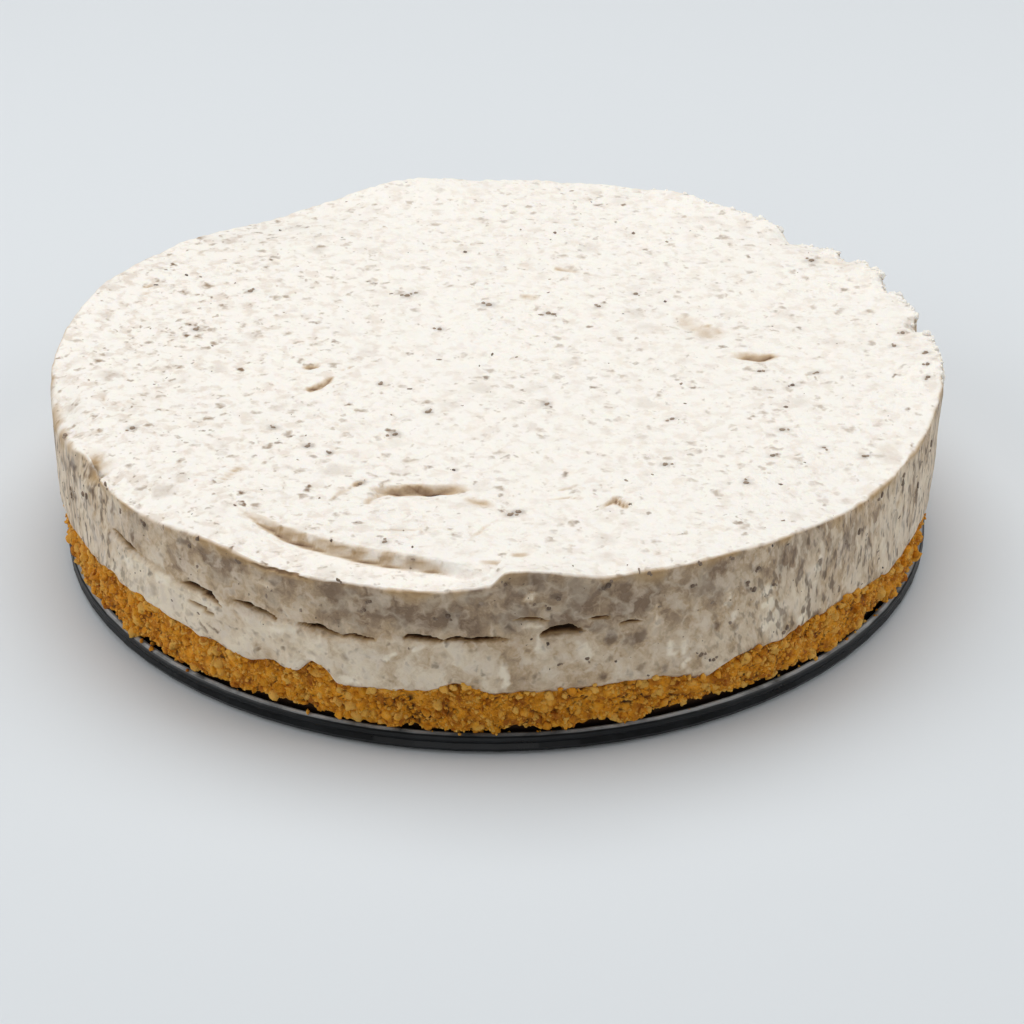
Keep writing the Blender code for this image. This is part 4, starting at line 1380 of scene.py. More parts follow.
@dataclass
class CreamFilling:
    """The set filling: knife-smoothed top, torn rim, cracked and cloudy side, and the chocolate in it."""

    form: CakeForm
    cream: CreamFinish
    chocolate: ChocolateFinish
    # A whiter cream for the torn rim's nubs, as painted light on edges lit from behind
    torn_colour: str = "#FFF9EE"
    # Grid lines across the top are closer together towards the front left, where the marks are
    lines_across: int = 204
    lines_back: int = 214
    edge_radius: float = 0.75 * MM
    # The filling's underside lies this far above the crumb base's top
    join_gap: float = 0.05 * MM
    # Degrees round the rounded edge, from the top down
    edge_turns: tuple[float, ...] = (72.0, 54.0, 36.0, 18.0, 0.0)
    knife_centre: tuple[float, float] = (12.0 * MM, 8.0 * MM)
    slump_bearing: float = -77.0
    slump_half_width: float = 14.0
    slump_drop: float = 3.4 * MM
    notch_bearing: float = -62.0
    notch_drop: float = 1.8 * MM
    # (bearing, height in mm) of the fold that the cracks lie along
    fold: tuple[tuple[float, float], ...] = (
        (-62.0, 31.0),
        (-52.0, 30.2),
        (-38.0, 28.4),
        (-30.0, 28.2),
        (-21.0, 27.4),
        (-10.0, 28.1),
        (0.0, 28.9),
        (8.0, 29.8),
        (17.0, 30.4),
    )
    top_flakes: Scatter = Scatter(
        density=3200.0, smallest=0.5 * MM, largest=2.2 * MM, width=0.5, thickness=0.3, sink=0.55,
        tilt=0.25, ruggedness=0.1 * MM, rugged_size=0.8 * MM, seed=21,
    )
    side_flakes: Scatter = Scatter(
        density=34000.0, smallest=0.4 * MM, largest=1.9 * MM, width=0.6, thickness=0.35, sink=0.7,
        tilt=0.25, ruggedness=0.1 * MM, rugged_size=0.8 * MM, seed=34,
    )
    rim_nubs: Scatter = Scatter(
        density=1100000.0, smallest=0.9 * MM, largest=2.4 * MM, width=0.8, thickness=0.8, sink=0.08,
        tilt=0.6, ruggedness=0.3 * MM, rugged_size=0.9 * MM, seed=55,
    )

    @staticmethod
    def spaced(count: int, dense_from: float, dense_to: float, weight: float) -> np.ndarray:
        """Spaces grid lines from -1 to 1, closer together in one stretch.

        Args:
            count: How many cells there are.
            dense_from: Where the dense stretch starts.
            dense_to: Where it ends.
            weight: How much denser it is.

        Returns:
            The lines' places.
        """
        fine = np.linspace(-1.0, 1.0, 4001)
        inside = (fine > dense_from) & (fine < dense_to)
        density = np.where(inside, weight, 1.0)
        density = np.convolve(np.pad(density, 200, mode="edge"), np.ones(401) / 401, mode="valid")
        reached = np.concatenate(([0.0], np.cumsum((density[1:] + density[:-1]) / 2)))
        lines = np.interp(np.linspace(0.0, reached[-1], count + 1), reached, fine)
        lines[0], lines[-1] = -1.0, 1.0
        return lines

    @staticmethod
    def to_disc(u: np.ndarray, v: np.ndarray) -> tuple[np.ndarray, np.ndarray]:
        """Maps the square from -1 to 1 on to the unit disc, with an even rim.

        Args:
            u: Places across.
            v: Places back.

        Returns:
            The radius, which is negative on two sides, and the angle.
        """
        wide = np.abs(u) > np.abs(v)
        safe_u = np.where(np.abs(u) < 1e-12, 1e-12, u)
        safe_v = np.where(np.abs(v) < 1e-12, 1e-12, v)
        radius = np.where(wide, u, v)
        angle = np.where(wide, math.pi / 4 * v / safe_u, math.pi / 2 - math.pi / 4 * u / safe_v)
        return radius, angle

    @staticmethod
    def rim_of_grid(wide: int, deep: int) -> np.ndarray:
        """Finds a grid's outermost points, in order round it.

        Args:
            wide: How many points a row has.
            deep: How many rows there are.

        Returns:
            The points' numbers, each once.
        """
        first_row = list(range(wide))
        right_column = [row * wide + wide - 1 for row in range(1, deep)]
        last_row = [(deep - 1) * wide + column for column in range(wide - 2, -1, -1)]
        left_column = [row * wide for row in range(deep - 2, 0, -1)]
        return np.array(first_row + right_column + last_row + left_column)

    def roughness(self, bearing: np.ndarray) -> np.ndarray:
        """How torn the rim is: most at the back right, a little at the back, and smooth in front."""
        torn = swell(bearing, 118.0, 44.0) ** 0.5
        return np.maximum(torn, 0.35 * swell(bearing, -170.0, 60.0)) + 0.05

    def slump(self, bearing: np.ndarray) -> np.ndarray:
        """How far the rim has slumped to a round shoulder, from 0 to 1: at the far left."""
        return swell(bearing, self.slump_bearing, self.slump_half_width)

    def rim_lumps(self, bearing: np.ndarray, height: float = 0.0) -> np.ndarray:
        """The torn rim's nubs.

        Args:
            bearing: Degrees round the cake.
            height: Shifts the nubs, so that height and radius differ.

        Returns:
            How far each place stands out.
        """
        places = points_at(bearing, self.form.radius, height)
        lumps = 0.5 * grain(places, 3.6 * MM, 2.2) + 0.9 * grain(places, 1.7 * MM, 8.8)
        return MM * (self.roughness(bearing) * lumps + 0.16 * grain(places, 1.9 * MM, 11.8))

    def fold_height(self, bearing: np.ndarray) -> np.ndarray:
        """Height in mm of the fold in the side."""
        return np.interp(bearing, [place[0] for place in self.fold], [place[1] for place in self.fold])

    def freshness(self, bearing: np.ndarray, height: np.ndarray) -> np.ndarray:
        """How much the side bulges as a pale, plastered layer: below the fold at the front left.

        Args:
            bearing: Degrees round the cake.
            height: Heights in metres.

        Returns:
            From 0 to 1 for each place.
        """
        places = points_at(bearing, self.form.radius, height)
        wobble = 1.3 * grain(places, 8 * MM, 3.9) + 0.5 * grain(places, 3 * MM, 9.9)
        below = smooth_step((self.fold_height(bearing) + wobble - height / MM) / 1.3)
        around = smooth_step((bearing + 66.0) / 14.0) * smooth_step((4.0 - bearing) / 22.0)
        return below * around

    def side_form(
        self, bearing: np.ndarray, height: np.ndarray
    ) -> tuple[np.ndarray, np.ndarray, np.ndarray]:
        """Radius and tint of the side.

        Args:
            bearing: Degrees round the cake.
            height: Heights in metres.

        Returns:
            The radius, how hollow each place is from 0 to 1, which sets its painted shade, and its tone,
            above 0 for pale.
        """
        radius = self.form.upright_radius(bearing, height)
        places = points_at(bearing, self.form.radius, height)
        fresh = self.freshness(bearing, height)
        radius += 0.6 * MM * fresh
        # The plaster's smears overlap in low ridges
        ridges = 0.5 - 1.6 * np.abs(grain(places, 5.5 * MM, 4.9))
        radius += (0.10 + 0.28 * fresh) * MM * ridges
        radius += (0.08 + 0.12 * fresh) * MM * grain(places, 2.6 * MM, 8.1)
        radius += (0.05 + 0.06 * fresh) * MM * grain(places, 1.3 * MM, 6.1)
        # Where the ring slid off it left upright ripples
        streaks = grain(places * np.array((1.0, 1.0, 0.22)), 3.4 * MM, 9.7)
        radius += 0.2 * MM * streaks * smooth_step((np.abs(bearing - 6.0) - 6.0) / 24.0)
        wobble = 0.4 * grain(places, 2.6 * MM, 12.3) + 0.28 * grain(places, 1.1 * MM, 13.9)
        level = height / MM + wobble
        crease = bump((level - self.fold_height(bearing)) / 0.9)
        crease *= smooth_step((bearing + 58.0) / 10.0) * smooth_step((-10.0 - bearing) / 6.0)
        crease *= smooth_step(0.35 + 1.5 * grain(places, 9 * MM, 15.2))
        radius -= 0.3 * MM * crease
        # Painted shade in the crease and inside the cracks
        hollow = 0.16 * crease
        for crack in CRACKS:
            depth, dark = crack.open(bearing + 0.5 * wobble, level)
            radius -= depth * MM
            hollow = np.maximum(hollow, dark)
        # Painted light on the side: paler low down, where bounce light from the floor falls, and painted
        # shade on the upper part of the front
        low = smooth_step((35.0 - height / MM) / 12.0)
        front = bump(bearing / 62.0)
        tone = 0.22 * low - 0.30 * front * (1.0 - low)
        around = bearing + grain(places, 1.9 * MM, 17.4)
        upwards = height / MM + grain(places, 1.9 * MM, 19.1)
        for smear in SMEARS:
            tone = tone + smear.paint(around, upwards)
        near_top = smooth_step((height - self.form.top + 7 * MM) / (6 * MM))
        radius -= 2.2 * MM * near_top * swell(bearing, self.notch_bearing, 5.0)
        radius += near_top * self.rim_lumps(bearing, 0.03)
        return radius, hollow, np.clip(tone, -1.0, 1.2)

    def top_form(self, points: np.ndarray) -> tuple[np.ndarray, np.ndarray, np.ndarray]:
        """Height and tint of the top.

        Args:
            points: Rows of x, y and z, of which z isn't read.

        Returns:
            The height, how hollow each place is from 0 to 1, which sets its painted shade, and its tone,
            below 0 for dark.
        """
        flat = points * np.array((1.0, 1.0, 0.0))
        bearing, radius = bearing_of(points), np.hypot(points[:, 0], points[:, 1])
        height = self.form.top_height(points)
        # Knife strokes run round the cake's left front, and fine ripples everywhere
        right, back = points[:, 0] - self.knife_centre[0], points[:, 1] - self.knife_centre[1]
        sweep, turn = np.hypot(right, back), np.arctan2(back, right)
        strokes = grain(np.column_stack((sweep, turn * 22 * MM, 0.0 * sweep)), 3.4 * MM, 2.9)
        left = smooth_step((10 * MM - points[:, 0]) / (50 * MM))
        height += 0.10 * MM * strokes * (0.4 + 0.6 * left)
        height += 0.13 * MM * grain(flat, 8 * MM, 6.6) + 0.05 * MM * grain(flat, 2.6 * MM, 4.2)
        wobble_x, wobble_y = 0.8 * grain(flat, 2.8 * MM, 3.3), 0.6 * grain(flat, 2.8 * MM, 14.1)
        x, y = points[:, 0] / MM + wobble_x, points[:, 1] / MM + wobble_y
        hollow = np.zeros(len(points))
        broken = 0.74 + 0.62 * grain(flat * np.array((0.4, 1.0, 1.0)), 1.5 * MM, 7.9)
        for dent in DENTS:
            drop, brown = dent.press(x, y)
            brown = brown * np.clip(broken, 0.5 if dent.tint > 0.8 else 0.3, 1.15)
            height -= drop * MM
            hollow = np.maximum(hollow, brown)
        # Painted shade on the wall of the pressed shelf, and darker painted shade along its foot
        across, ends = self.form.shelf(bearing, radius + 0.5 * MM * wobble_y)
        lines = np.column_stack((bearing * 0.42 * MM, radius, 0.0 * radius))
        patchy = smooth_step(0.5 + 1.3 * grain(lines, 0.9 * MM, 5.7))
        fading = np.sqrt(ends) * (1.0 - smooth_step((bearing + 8.8) / 4.4))
        taper = smooth_step((bearing + 14.0) / 8.0)
        wall = fading * bump((across - 0.45 - 0.25 * taper) / (1.1 - 0.65 * taper))
        foot = fading * bump((across - 0.95) / 0.5)
        hollow = np.maximum(hollow, wall * (0.14 + 0.30 * patchy))
        streaky = smooth_step(0.5 + 1.2 * grain(lines, 2.2 * MM, 6.7))
        hollow = np.maximum(hollow, foot * (0.30 + 0.52 * streaky))
        # Cream greyed by the chocolate crumbs that lie in it
        tone = np.zeros(len(points))
        for crumb in TOP_CRUMBS:
            away = np.hypot(x - crumb[0], y - crumb[1]) / (0.72 * crumb[2])
            tone = np.minimum(tone, -0.72 * smooth_step(1.35 - away))
        near_rim = smooth_step((radius - self.form.radius + 5 * MM) / (4 * MM))
        height += near_rim * self.rim_lumps(bearing)
        shoulder = smooth_step(1.0 - (self.form.radius - radius) / (8 * MM))
        height -= self.slump_drop * self.slump(bearing) * shoulder
        # Where the slumped part broke off, the rim is torn down, with painted shade in the tear
        torn = swell(bearing, self.notch_bearing, 3.8) * shoulder
        height -= self.notch_drop * torn
        hollow = np.maximum(hollow, 0.70 * torn * smooth_step(0.7 + grain(flat, 2 * MM, 25.0)))
        return height, hollow, tone

    def side_loops(
        self, bearing: np.ndarray, edge: np.ndarray, rounding: np.ndarray
    ) -> tuple[list[np.ndarray], list[np.ndarray], list[np.ndarray], list[np.ndarray]]:
        """Builds the side in loops: round the edge, down to the join, and in under the cream.

        Args:
            bearing: The bearing of each point of the rim.
            edge: The height of the top at each point of the rim.
            rounding: How far down and in the rounded edge reaches at each point of the rim.

        Returns:
            The loops' points from the top down, and for each loop how much painted shade it gets, how pale
            and how fresh it is.
        """
        form = self.form
        loops, hollows, tones, fresh = [], [], [], []
        around = points_at(bearing, form.radius, 0.0)
        # Painted shade in a thin, uneven band just below the rim's edge, weaker at the back right and near
        # the front
        rim_shade = 0.05 + 0.40 * smooth_step(0.4 + 1.4 * grain(around, 4 * MM, 21.0))
        rim_shade_reach = 0.045 + 0.11 * smooth_step(0.3 + 1.4 * grain(around, 5 * MM, 23.0))
        rim_shade *= 1.0 - 0.85 * swell(bearing, 125.0, 75.0) ** 0.5
        rim_shade *= 1.0 - 0.65 * swell(bearing, 7.0, 14.0)

        # The level of each loop, how far it is drawn in, and how much of the painted shade along the rim's
        # edge falls there
        rows = []
        for degrees in self.edge_turns:
            angle = math.radians(degrees)
            level = edge - rounding * (1.0 - math.sin(angle))
            rows.append((level, rounding * (1.0 - math.cos(angle)), math.cos(angle)))
        start = edge - rounding
        foot_radius = self.side_form(bearing, form.join_height(bearing, form.radius))[0]
        foot = form.join_height(bearing, foot_radius) + self.join_gap
        # The loops are closest together where the cracks are
        spans = ((0.03, 0.27, 8), (0.285, 0.61, 30), (0.635, 1.0, 12))
        for share in np.concatenate([np.linspace(*span) for span in spans]):
            tuck = 0.9 * MM * smooth_step((share - 0.955) / 0.045)
            rows.append((start + (foot - start) * share, tuck, smooth_step(1.0 - share / rim_shade_reach)))
        for level, inset, rim_shading in rows:
            radius, dark, shade = self.side_form(bearing, level)
            loops.append(points_at(bearing, radius - inset, level))
            hollows.append(np.maximum(dark, rim_shade * rim_shading))
            tones.append(shade)
            fresh.append(self.freshness(bearing, level))
        for radius in (form.radius - 3 * MM, form.join_flat_radius):
            loops.append(points_at(bearing, radius, form.join_height(bearing, radius) + self.join_gap))
            for values in (hollows, tones, fresh):
                values.append(np.zeros(len(bearing)))
        return loops, hollows, tones, fresh

    def mesh_parts(self) -> tuple[np.ndarray, list[tuple[int, ...]], dict[Mark, np.ndarray]]:
        """Builds the filling's closed surface.

        Returns:
            The points, the faces and the marks.
        """
        form = self.form
        across = self.spaced(self.lines_across, -0.70, 0.35, 1.7)
        back = self.spaced(self.lines_back, -1.0, -0.42, 2.2)
        u, v = (lines.ravel() for lines in np.meshgrid(across, back))
        disc_radius, disc_angle = self.to_disc(u, v)
        grid = form.radius * np.column_stack(
            (disc_radius * np.cos(disc_angle), disc_radius * np.sin(disc_angle), 0.0 * u)
        )

        # The rim's edge follows the side, and the grid gives way to it near the rim
        wide, deep = len(across), len(back)
        rim = self.rim_of_grid(wide, deep)
        bearing = bearing_of(grid[rim])
        crest = self.top_form(points_at(bearing, form.radius - self.edge_radius, 0.0))[0]
        crest_radius = self.side_form(bearing, crest)[0]
        slump = self.slump(bearing)
        rounding = self.edge_radius * (
            1.0 + 0.55 * grain(points_at(bearing, form.radius, 0.0), 4 * MM, 10.3) + 3.0 * slump
        )
        order = np.argsort(bearing)
        all_bearings, all_radii = bearing_of(grid), np.hypot(grid[:, 0], grid[:, 1])
        shift = np.interp(
            all_bearings, bearing[order], (crest_radius - rounding - form.radius)[order], period=360.0
        )
        shift *= smooth_step((all_radii / form.radius - 0.86) / 0.14)
        all_radii = all_radii + shift
        grid = points_at(all_bearings, all_radii, 0.0)
        height, hollow, tone = self.top_form(grid)
        grid[:, 2] = height

        loops, hollows, tones, fresh = self.side_loops(bearing, height[rim], rounding)

        faces: list[tuple[int, ...]] = []
        for row in range(deep - 1):
            low = row * wide + np.arange(wide - 1)
            faces += quads(low, low + 1, low + wide + 1, low + wide)
        count = len(grid)
        below, last = stack_of_loops(loops, count)
        steps = len(rim)
        after = (np.arange(steps) + 1) % steps
        faces += quads(count + np.arange(steps), count + after, rim[after], rim) + below
        points = np.vstack([grid, *loops, [[0.0, 0.0, form.base_top + self.join_gap]]])
        centre = len(points) - 1
        faces += [(last + (step + 1) % steps, last + step, centre) for step in range(steps)]

        # How much of a side each loop round the edge is, and how much less so where the rim slumped
        edge_sides = ((0.1, 1.0), (0.3, 1.0), (0.7, 0.9), (1.0, 0.7), (1.0, 0.3))
        rounded = [share * (1.0 - less * slump) for share, less in edge_sides]
        upright = np.ones(steps * (len(loops) - len(rounded)))
        sides = np.concatenate((0.0 * hollow, *rounded, upright, [1.0]))
        hollow = np.concatenate((hollow, *hollows, [0.0]))
        tone = np.concatenate((tone, *tones, [0.0]))
        fresh = np.concatenate((np.zeros(count), *fresh, [0.0]))
        turned, outwards = bearing_of(points), np.hypot(points[:, 0], points[:, 1])
        drawn = np.maximum(smooth_step((turned - 18.0) / 24.0), smooth_step((-42.0 - turned) / 18.0))
        near_side = (outwards > form.radius - 5 * MM).astype(float)
        side_cover = near_side * (sides > 0.8) * (points[:, 2] > form.base_top + 1 * MM)
        rim_cover = swell(turned, 120.0, 42.0) ** 0.5 * near_side * (sides > 0.05)
        rim_cover *= smooth_step((points[:, 2] - form.top + 3 * MM) / (2 * MM))
        marks = {
            Mark.SIDE: sides,
            Mark.HOLLOW: hollow,
            Mark.FRESH: fresh,
            Mark.DRAWN: drawn * sides,
            Mark.TONE: tone,
            Mark.TOP_COVER: (sides < 0.1).astype(float),
            Mark.SIDE_COVER: side_cover * (1.0 - 0.5 * fresh),
            Mark.RIM_COVER: rim_cover,
        }
        return points, faces, marks

    @staticmethod
    def clustered(table: np.ndarray, unit: float) -> np.ndarray:
        """Adds a smaller, paler crumb beside each crumb, where it broke.

        Args:
            table: A row for each crumb: two place values, then length in mm, width, turn and shade.
            unit: What a millimetre is in the first place value.

        Returns:
            The longer table.
        """
        chance = np.random.default_rng(17)
        angle = chance.uniform(0.0, math.tau, len(table))
        away = chance.uniform(0.45, 0.8, len(table)) * table[:, 2]
        extra = table.copy()
        extra[:, 0] += away * np.cos(angle) * unit
        extra[:, 1] += away * np.sin(angle)
        extra[:, 2] *= chance.uniform(0.35, 0.6, len(table))
        extra[:, 3] = 0.85
        extra[:, 5] = np.minimum(extra[:, 5] + 0.25, 1.0)
        return np.vstack((table * np.array((1.0, 1.0, 0.85, 1.0, 1.0, 1.0)), extra))

    def set_top_crumbs(self, material: bpy.types.Material) -> bpy.types.Object:
        """Sets the single crumbs of chocolate in the top.

        Args:
            material: The crumbs' finish.

        Returns:
            The piece.
        """
        table = self.clustered(np.array(TOP_CRUMBS), 1.0)
        places = table[:, :3] * np.array((MM, MM, 0.0))
        places[:, 2] = self.top_form(places)[0]
        facing = np.tile((0.0, 0.0, 1.0), (len(table), 1))
        shapes = table[:, 2:] * np.array((0.75, 1.3, 1.0, 1.0)) + np.array((0.0, 0.0, 0.0, 0.1))
        return SingleCrumbs().place("single_crumbs_top", places, facing, shapes, material)

    def set_side_crumbs(self, material: bpy.types.Material) -> bpy.types.Object:
        """Sets the single crumbs of chocolate in the side.

        Args:
            material: The crumbs' finish.

        Returns:
            The piece.
        """
        table = self.clustered(np.array(SIDE_CRUMBS), 180.0 / math.pi / RADIUS_MM)
        bearing, level = table[:, 0], table[:, 1] * MM
        places = points_at(bearing, self.side_form(bearing, level)[0], level)
        shapes = table[:, 2:] * np.array((0.9, 1.3, 1.0, 1.0)) + np.array((0.0, 0.0, 0.0, 0.12))
        shapes[:, 2] += bearing
        facing = points_at(bearing, 1.0, 0.0)
        return SingleCrumbs().place("single_crumbs_side", places, facing, shapes, material)

    def build(self) -> None:
        """Makes the filling and the chocolate in it, and hands them over."""
        points, faces, marks = self.mesh_parts()
        cream, chocolate = self.cream.material(), self.chocolate.material()
        # The torn rim's nubs get a whiter copy of the cream without flecks, as painted light
        plain = {"top_colour": self.torn_colour, "haze_colour": self.torn_colour, "flecks": ()}
        torn = replace(self.cream, name="torn_cream_painted_lit", **plain).material()
        piece = make_piece("set_cream", points, faces, marks, cream)
        found = [
            self.top_flakes.spread("chocolate_flakes_top", piece, Mark.TOP_COVER, chocolate),
            self.side_flakes.spread("chocolate_flakes_side", piece, Mark.SIDE_COVER, chocolate),
            self.set_top_crumbs(chocolate),
            self.set_side_crumbs(chocolate),
            self.rim_nubs.spread("torn_cream_rim", piece, Mark.RIM_COVER, torn),
        ]
        hand_over(piece, Part.CREAM, replaces=True)
        for extra in found:
            hand_over(extra, Part.CREAM)


# The crumb base


@dataclass
class CrumbCrust:
    """The base of pressed biscuit crumbs, with its overhang above the tin's lip."""

    form: CakeForm
    biscuit: BiscuitFinish
    steps: int = 1300
    wall_loops: int = 26
    floor_height: float = 1.3 * MM
    foot_radius: float = 96.2 * MM
    overhang_height: float = 6.6 * MM
    # (bearing, half width, rise) of the overhang's lower edge
    edge_waves: tuple[tuple[float, float, float], ...] = (
        (-8.0, 26.0, -0.7 * MM),
        (-62.0, 26.0, -0.6 * MM),
        (28.0, 8.0, 0.6 * MM),
        (44.0, 8.0, 0.9 * MM),
        (57.0, 6.0, 1.4 * MM),
    )
    crumbs: Scatter = Scatter(
        density=210000.0, smallest=0.9 * MM, largest=3.0 * MM, width=0.85, thickness=0.75, sink=0.2,
        tilt=0.6, ruggedness=0.5 * MM, rugged_size=1.2 * MM, detail=2, seed=5,
    )
    grains: Scatter = Scatter(
        density=1200000.0, smallest=0.4 * MM, largest=1.3 * MM, width=0.8, thickness=0.8, sink=0.05,
        tilt=0.8, ruggedness=0.1 * MM, rugged_size=0.5 * MM, seed=8,
    )
    pressed: Scatter = Scatter(
        density=800000.0, smallest=0.7 * MM, largest=2.6 * MM, width=0.8, thickness=0.7, sink=0.3,
        tilt=0.6, ruggedness=0.36 * MM, rugged_size=0.9 * MM, detail=2, seed=71,
    )
    # Crumbs that fell on the tin's lip: (bearing, half width, how many)
    fallen: tuple[tuple[float, float, float], ...] = (
        (2.0, 14.0, 1.0),
        (56.0, 18.0, 1.0),
        (-49.0, 11.0, 0.8),
        (150.0, 22.0, 0.7),
        (-120.0, 26.0, 0.6),
    )
    lip_radius: float = 99.05 * MM
    lip_height: float = 3.55 * MM
    lip_bead: float = 1.15 * MM
    loose: Scatter = Scatter(
        density=240000.0, smallest=0.4 * MM, largest=1.6 * MM, width=0.8, thickness=0.7, sink=-0.7,
        tilt=0.5, ruggedness=0.12 * MM, rugged_size=0.6 * MM, seed=13,
    )

    def ragged_height(self, bearing: np.ndarray) -> np.ndarray:
        """Height of the overhanging lower edge."""
        places = points_at(bearing, self.form.radius, 0.0)
        edge = self.overhang_height + 1.3 * MM * grain(places, 7 * MM, 9.1)
        for centre, half_width, rise in self.edge_waves:
            edge += rise * swell(bearing, centre, half_width)
        return np.maximum(edge + 0.9 * MM * grain(places, 2.2 * MM, 3.7), 4.9 * MM)

    def crumb_radius(self, bearing: np.ndarray, height: np.ndarray) -> tuple[np.ndarray, np.ndarray]:
        """Radius of the crumbly side in lumps of three sizes.

        Args:
            bearing: Degrees round the cake.
            height: Heights in metres.

        Returns:
            The radius, and how much of a crevice each place is, from 0 to 1, which sets its painted shade.
        """
        places = points_at(bearing, self.form.radius, height)
        nearest, _ = cells(places, 5.0 * MM)
        lumps = 1.6 * (0.45 - nearest + 0.35 * grain(places, 11 * MM, 4.4))
        second, beyond = cells(places, 2.1 * MM, 7.3)
        third, _ = cells(places, 1.0 * MM, 3.9)
        lumps += 0.8 * (0.45 - second) + 0.55 * (0.45 - third)
        crevice = smooth_step(1.0 - (beyond - second) / 0.16) * smooth_step((nearest - 0.4) / 0.3)
        return self.form.radius - 1.5 * MM + lumps * MM, crevice

    def build(self) -> None:
        """Makes the crust and its crumbs, and hands them over."""
        form = self.form
        bearing = np.linspace(0.0, 360.0, self.steps, endpoint=False)
        bearing = bearing_gap(bearing, 0.0)
        low = self.ragged_height(bearing)
        high = form.join_height(bearing, form.radius)
        crevices, loops = [], []

        edge_radius, _ = self.crumb_radius(bearing, high)
        edge_radius = np.minimum(edge_radius - 0.4 * MM, form.radius - 1.2 * MM)
        loops.append(points_at(bearing, form.join_flat_radius, form.base_top))
        loops.append(points_at(bearing, edge_radius, form.join_height(bearing, edge_radius)))
        crevices += [np.zeros(self.steps), np.zeros(self.steps)]
        for share in np.linspace(0.96, 0.0, self.wall_loops):
            level = low + (high - low) * share
            radius, crevice = self.crumb_radius(bearing, level)
            loops.append(points_at(bearing, radius, level))
            crevices.append(crevice)
        radius, _ = self.crumb_radius(bearing, low)
        # Under the overhang and at the foot inside the tin's lip the crust gets painted shadow
        for inset, drop in ((0.8 * MM, 0.35 * MM), (1.8 * MM, 0.1 * MM)):
            loops.append(points_at(bearing, radius - inset, low - drop))
            crevices.append(np.full(self.steps, 0.8))
        for inset, level in ((1.4 * MM, 5.3 * MM), (0.4 * MM, 4.0 * MM), (0.0, self.floor_height)):
            loops.append(points_at(bearing, self.foot_radius + inset, level))
            crevices.append(np.ones(self.steps))

        faces, last = stack_of_loops(loops, 0)
        points = np.vstack([*loops, [[0.0, 0.0, form.base_top]], [[0.0, 0.0, self.floor_height]]])
        top_centre, bottom_centre = len(points) - 2, len(points) - 1
        for step in range(self.steps):
            after = (step + 1) % self.steps
            faces.append((top_centre, step, after))
            faces.append((last + after, last + step, bottom_centre))
        crevice = np.concatenate((*crevices, [0.0, 1.0]))
        rows = np.repeat(np.arange(len(loops)), self.steps)
        in_wall = (rows >= 2) & (rows <= 2 + self.wall_loops)
        cover = np.concatenate((in_wall.astype(float), [0.0, 0.0]))
        # The crust's own surface is darker than its crumbs, as painted shade in the gaps between them
        shade = np.full(len(points), 0.2)
        marks = {Mark.CREVICE: crevice, Mark.CRUMB_COVER: cover, Mark.SHADE: shade}
        material = self.biscuit.material()
        piece = make_piece("crumb_crust", points, faces, marks, material)
        crumbs = self.crumbs.spread("crust_crumbs", piece, Mark.CRUMB_COVER, material)
        grains = self.grains.spread("crust_grains", piece, Mark.CRUMB_COVER, material)
        found = (crumbs, grains, self.edge_crumbs(material), self.drop_crumbs(material))
        hand_over(piece, Part.CRUST, replaces=True)
        for extra in found:
            hand_over(extra, Part.CRUST)

    @staticmethod
    def strew(
        name: str,
        scatter: Scatter,
        loops: Sequence[np.ndarray],
        covers: Sequence[np.ndarray],
        material: bpy.types.Material,
    ) -> bpy.types.Object:
        """Spreads crumbs over a strip that isn't kept.

        Args:
            name: The crumbs' name.
            scatter: The crumbs' sizes.
            loops: The strip's loops of points, from the top down.
            covers: How thickly the crumbs lie at each point of each loop, from 0 to 1.
            material: The crumbs' finish.

        Returns:
            The crumbs.
        """
        faces, _ = stack_of_loops(loops, 0)
        marks = {Mark.CRUMB_COVER: np.concatenate(covers)}
        strip = make_piece(f"{name}_strip", np.vstack(loops), faces, marks, material)
        found = scatter.spread(name, strip, Mark.CRUMB_COVER, material)
        bpy.data.objects.remove(strip)
        return found

    def edge_crumbs(self, material: bpy.types.Material) -> bpy.types.Object:
        """Presses crumbs into the foot of the cream, so that the join is uneven.

        Args:
            material: The crumbs' finish.

        Returns:
            The piece.
        """
        bearing = np.linspace(-180.0, 180.0, 720, endpoint=False)
        level = self.form.join_height(bearing, self.form.radius)
        around = points_at(bearing, self.form.radius, 0.0)
        many = smooth_step(0.45 + 1.3 * grain(around, 6 * MM, 31.0))
        many *= 1.0 - bump((np.abs(bearing) - 84.0) / 26.0) ** 0.3
        loops, covers = [], []
        for lift, share in ((1.0, 0.1), (0.2, 1.0), (-0.9, 1.0)):
            height = level + lift * MM
            loops.append(points_at(bearing, self.form.upright_radius(bearing, height) + 0.1 * MM, height))
            covers.append(share * many)
        return self.strew("join_crumbs", self.pressed, loops, covers, material)

    def drop_crumbs(self, material: bpy.types.Material) -> bpy.types.Object:
        """Lays the loose crumbs on the rolled lip of the tin.

        Args:
            material: The crumbs' finish.

        Returns:
            The piece.
        """
        bearing = np.linspace(0.0, 360.0, 360, endpoint=False)
        loops, covers = [], []
        many = 0.04 + sum(share * swell(bearing, at, wide) for at, wide, share in self.fallen)
        for out in (-0.9, -0.5, 0.0, 0.5):
            height = self.lip_height + self.lip_bead * math.sqrt(1.0 - out**2)
            loops.append(points_at(bearing, self.lip_radius + self.lip_bead * out, height))
            covers.append(many)
        return self.strew("loose_crumbs", self.loose, loops, covers, material)


# The tin


@dataclass
class TinDisc:
    """The springform tin's disc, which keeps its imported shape."""

    coating: CoatingFinish

    def build(self) -> None:
        """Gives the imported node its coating."""
        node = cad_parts[Part.TIN.value]
        made = self.coating.material()
        for material_slot in node.material_slots:
            material_slot.material = made
        LOG.info("%s keeps its packed shape", node.name)


# Floor, light and camera


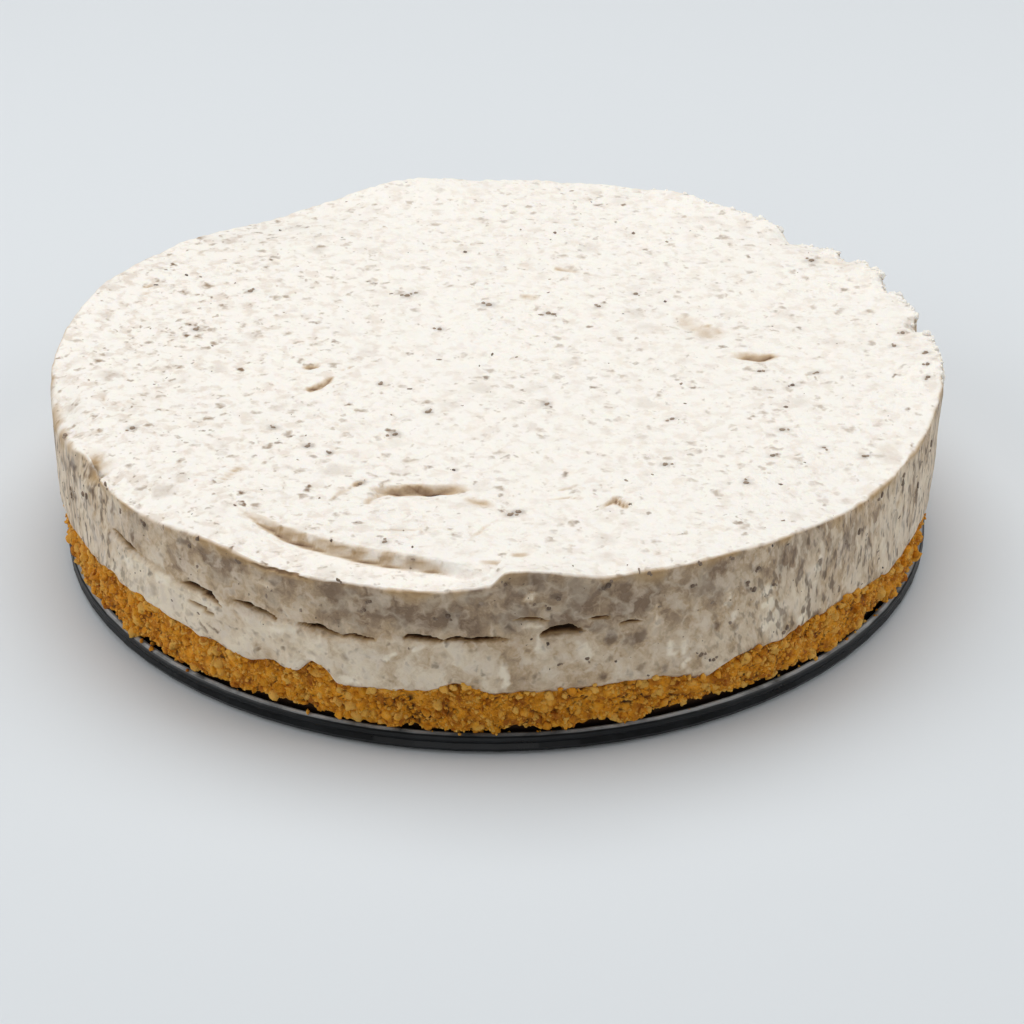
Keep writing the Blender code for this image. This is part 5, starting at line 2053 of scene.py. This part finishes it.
@dataclass
class Studio:
    """A plain pale floor, soft light from above and behind, and the camera."""

    floor: FloorFinish
    floor_size: float = 4.0
    floor_level: float = -0.02 * MM
    # (name, place, size, watts)
    lights: tuple[tuple[str, tuple[float, float, float], float, float], ...] = (
        ("overhead", (0.0, 0.30, 1.10), 1.1, 10.6),
        ("left_fill", (-1.0, -0.05, 0.60), 0.8, 4.4),
        ("right_fill", (1.0, -0.05, 0.60), 0.8, 3.4),
        ("front_fill", (-0.15, -1.20, 0.42), 0.9, 2.4),
    )
    sky_colour: str = "#F5F2EE"
    sky_strength: float = 0.15
    camera_place: tuple[float, float, float] = (0.001879, -0.649370, 0.372800)
    camera_forward: tuple[float, float, float] = (0.00233, 0.86792, -0.49669)
    camera_yaw: float = 0.0027
    camera_roll: float = -0.0056
    camera_lens: float = 111.48

    def build_floor(self) -> None:
        """Lays the floor, a little below the disc's underside, so that the two don't share a plane."""
        half = self.floor_size / 2
        mesh = bpy.data.meshes.new("floor")
        corners = ((-half, -half), (half, -half), (half, half), (-half, half))
        mesh.from_pydata([(x, y, self.floor_level) for x, y in corners], [], [(0, 1, 2, 3)])
        mesh.materials.append(self.floor.material())
        linked("floor", mesh)

    def build_lights(self) -> None:
        """Hangs the lights and sets the even light of the room."""
        for name, place, size, watts in self.lights:
            lamp = bpy.data.lights.new(name, "AREA")
            lamp.shape = "SQUARE"
            lamp.size = size
            lamp.energy = watts
            hung = linked(name, lamp)
            hung.location = place
            hung.rotation_euler = (-Vector(place)).to_track_quat("-Z", "Y").to_euler()
        world = bpy.data.worlds.new("room")
        world.use_nodes = True
        background = world.node_tree.nodes["Background"]
        background.inputs["Color"].default_value = linear(self.sky_colour)
        background.inputs["Strength"].default_value = self.sky_strength
        bpy.context.scene.world = world

    def build_camera(self) -> None:
        """Sets up the camera where the photographer stood."""
        forward = Vector(self.camera_forward).normalized()
        right = Vector((math.cos(self.camera_yaw), -math.sin(self.camera_yaw), 0.0))
        upward = right.cross(forward)
        cosine, sine = math.cos(self.camera_roll), math.sin(self.camera_roll)
        level = right * cosine + upward * sine
        upright = upward * cosine - right * sine
        turned = Matrix((level, upright, -forward)).transposed().to_4x4()
        lens = bpy.data.cameras.new("camera")
        lens.lens = self.camera_lens
        lens.sensor_width = 36.0
        lens.clip_start = 0.01
        lens.clip_end = 20.0
        held = linked("camera", lens)
        held.matrix_world = Matrix.Translation(self.camera_place) @ turned
        bpy.context.scene.camera = held

    def build(self) -> None:
        """Sets up all of the studio."""
        self.build_floor()
        self.build_lights()
        self.build_camera()
        bpy.context.scene.view_settings.view_transform = "Standard"


def main() -> None:
    """Builds every part in order."""
    logging.basicConfig(level=logging.INFO, format="%(message)s")
    form = CakeForm()
    TinDisc(CoatingFinish()).build()
    CrumbCrust(form, BiscuitFinish()).build()
    CreamFilling(form, CreamFinish(), ChocolateFinish()).build()
    Studio(FloorFinish()).build()


if __name__ == "__main__":
    main()
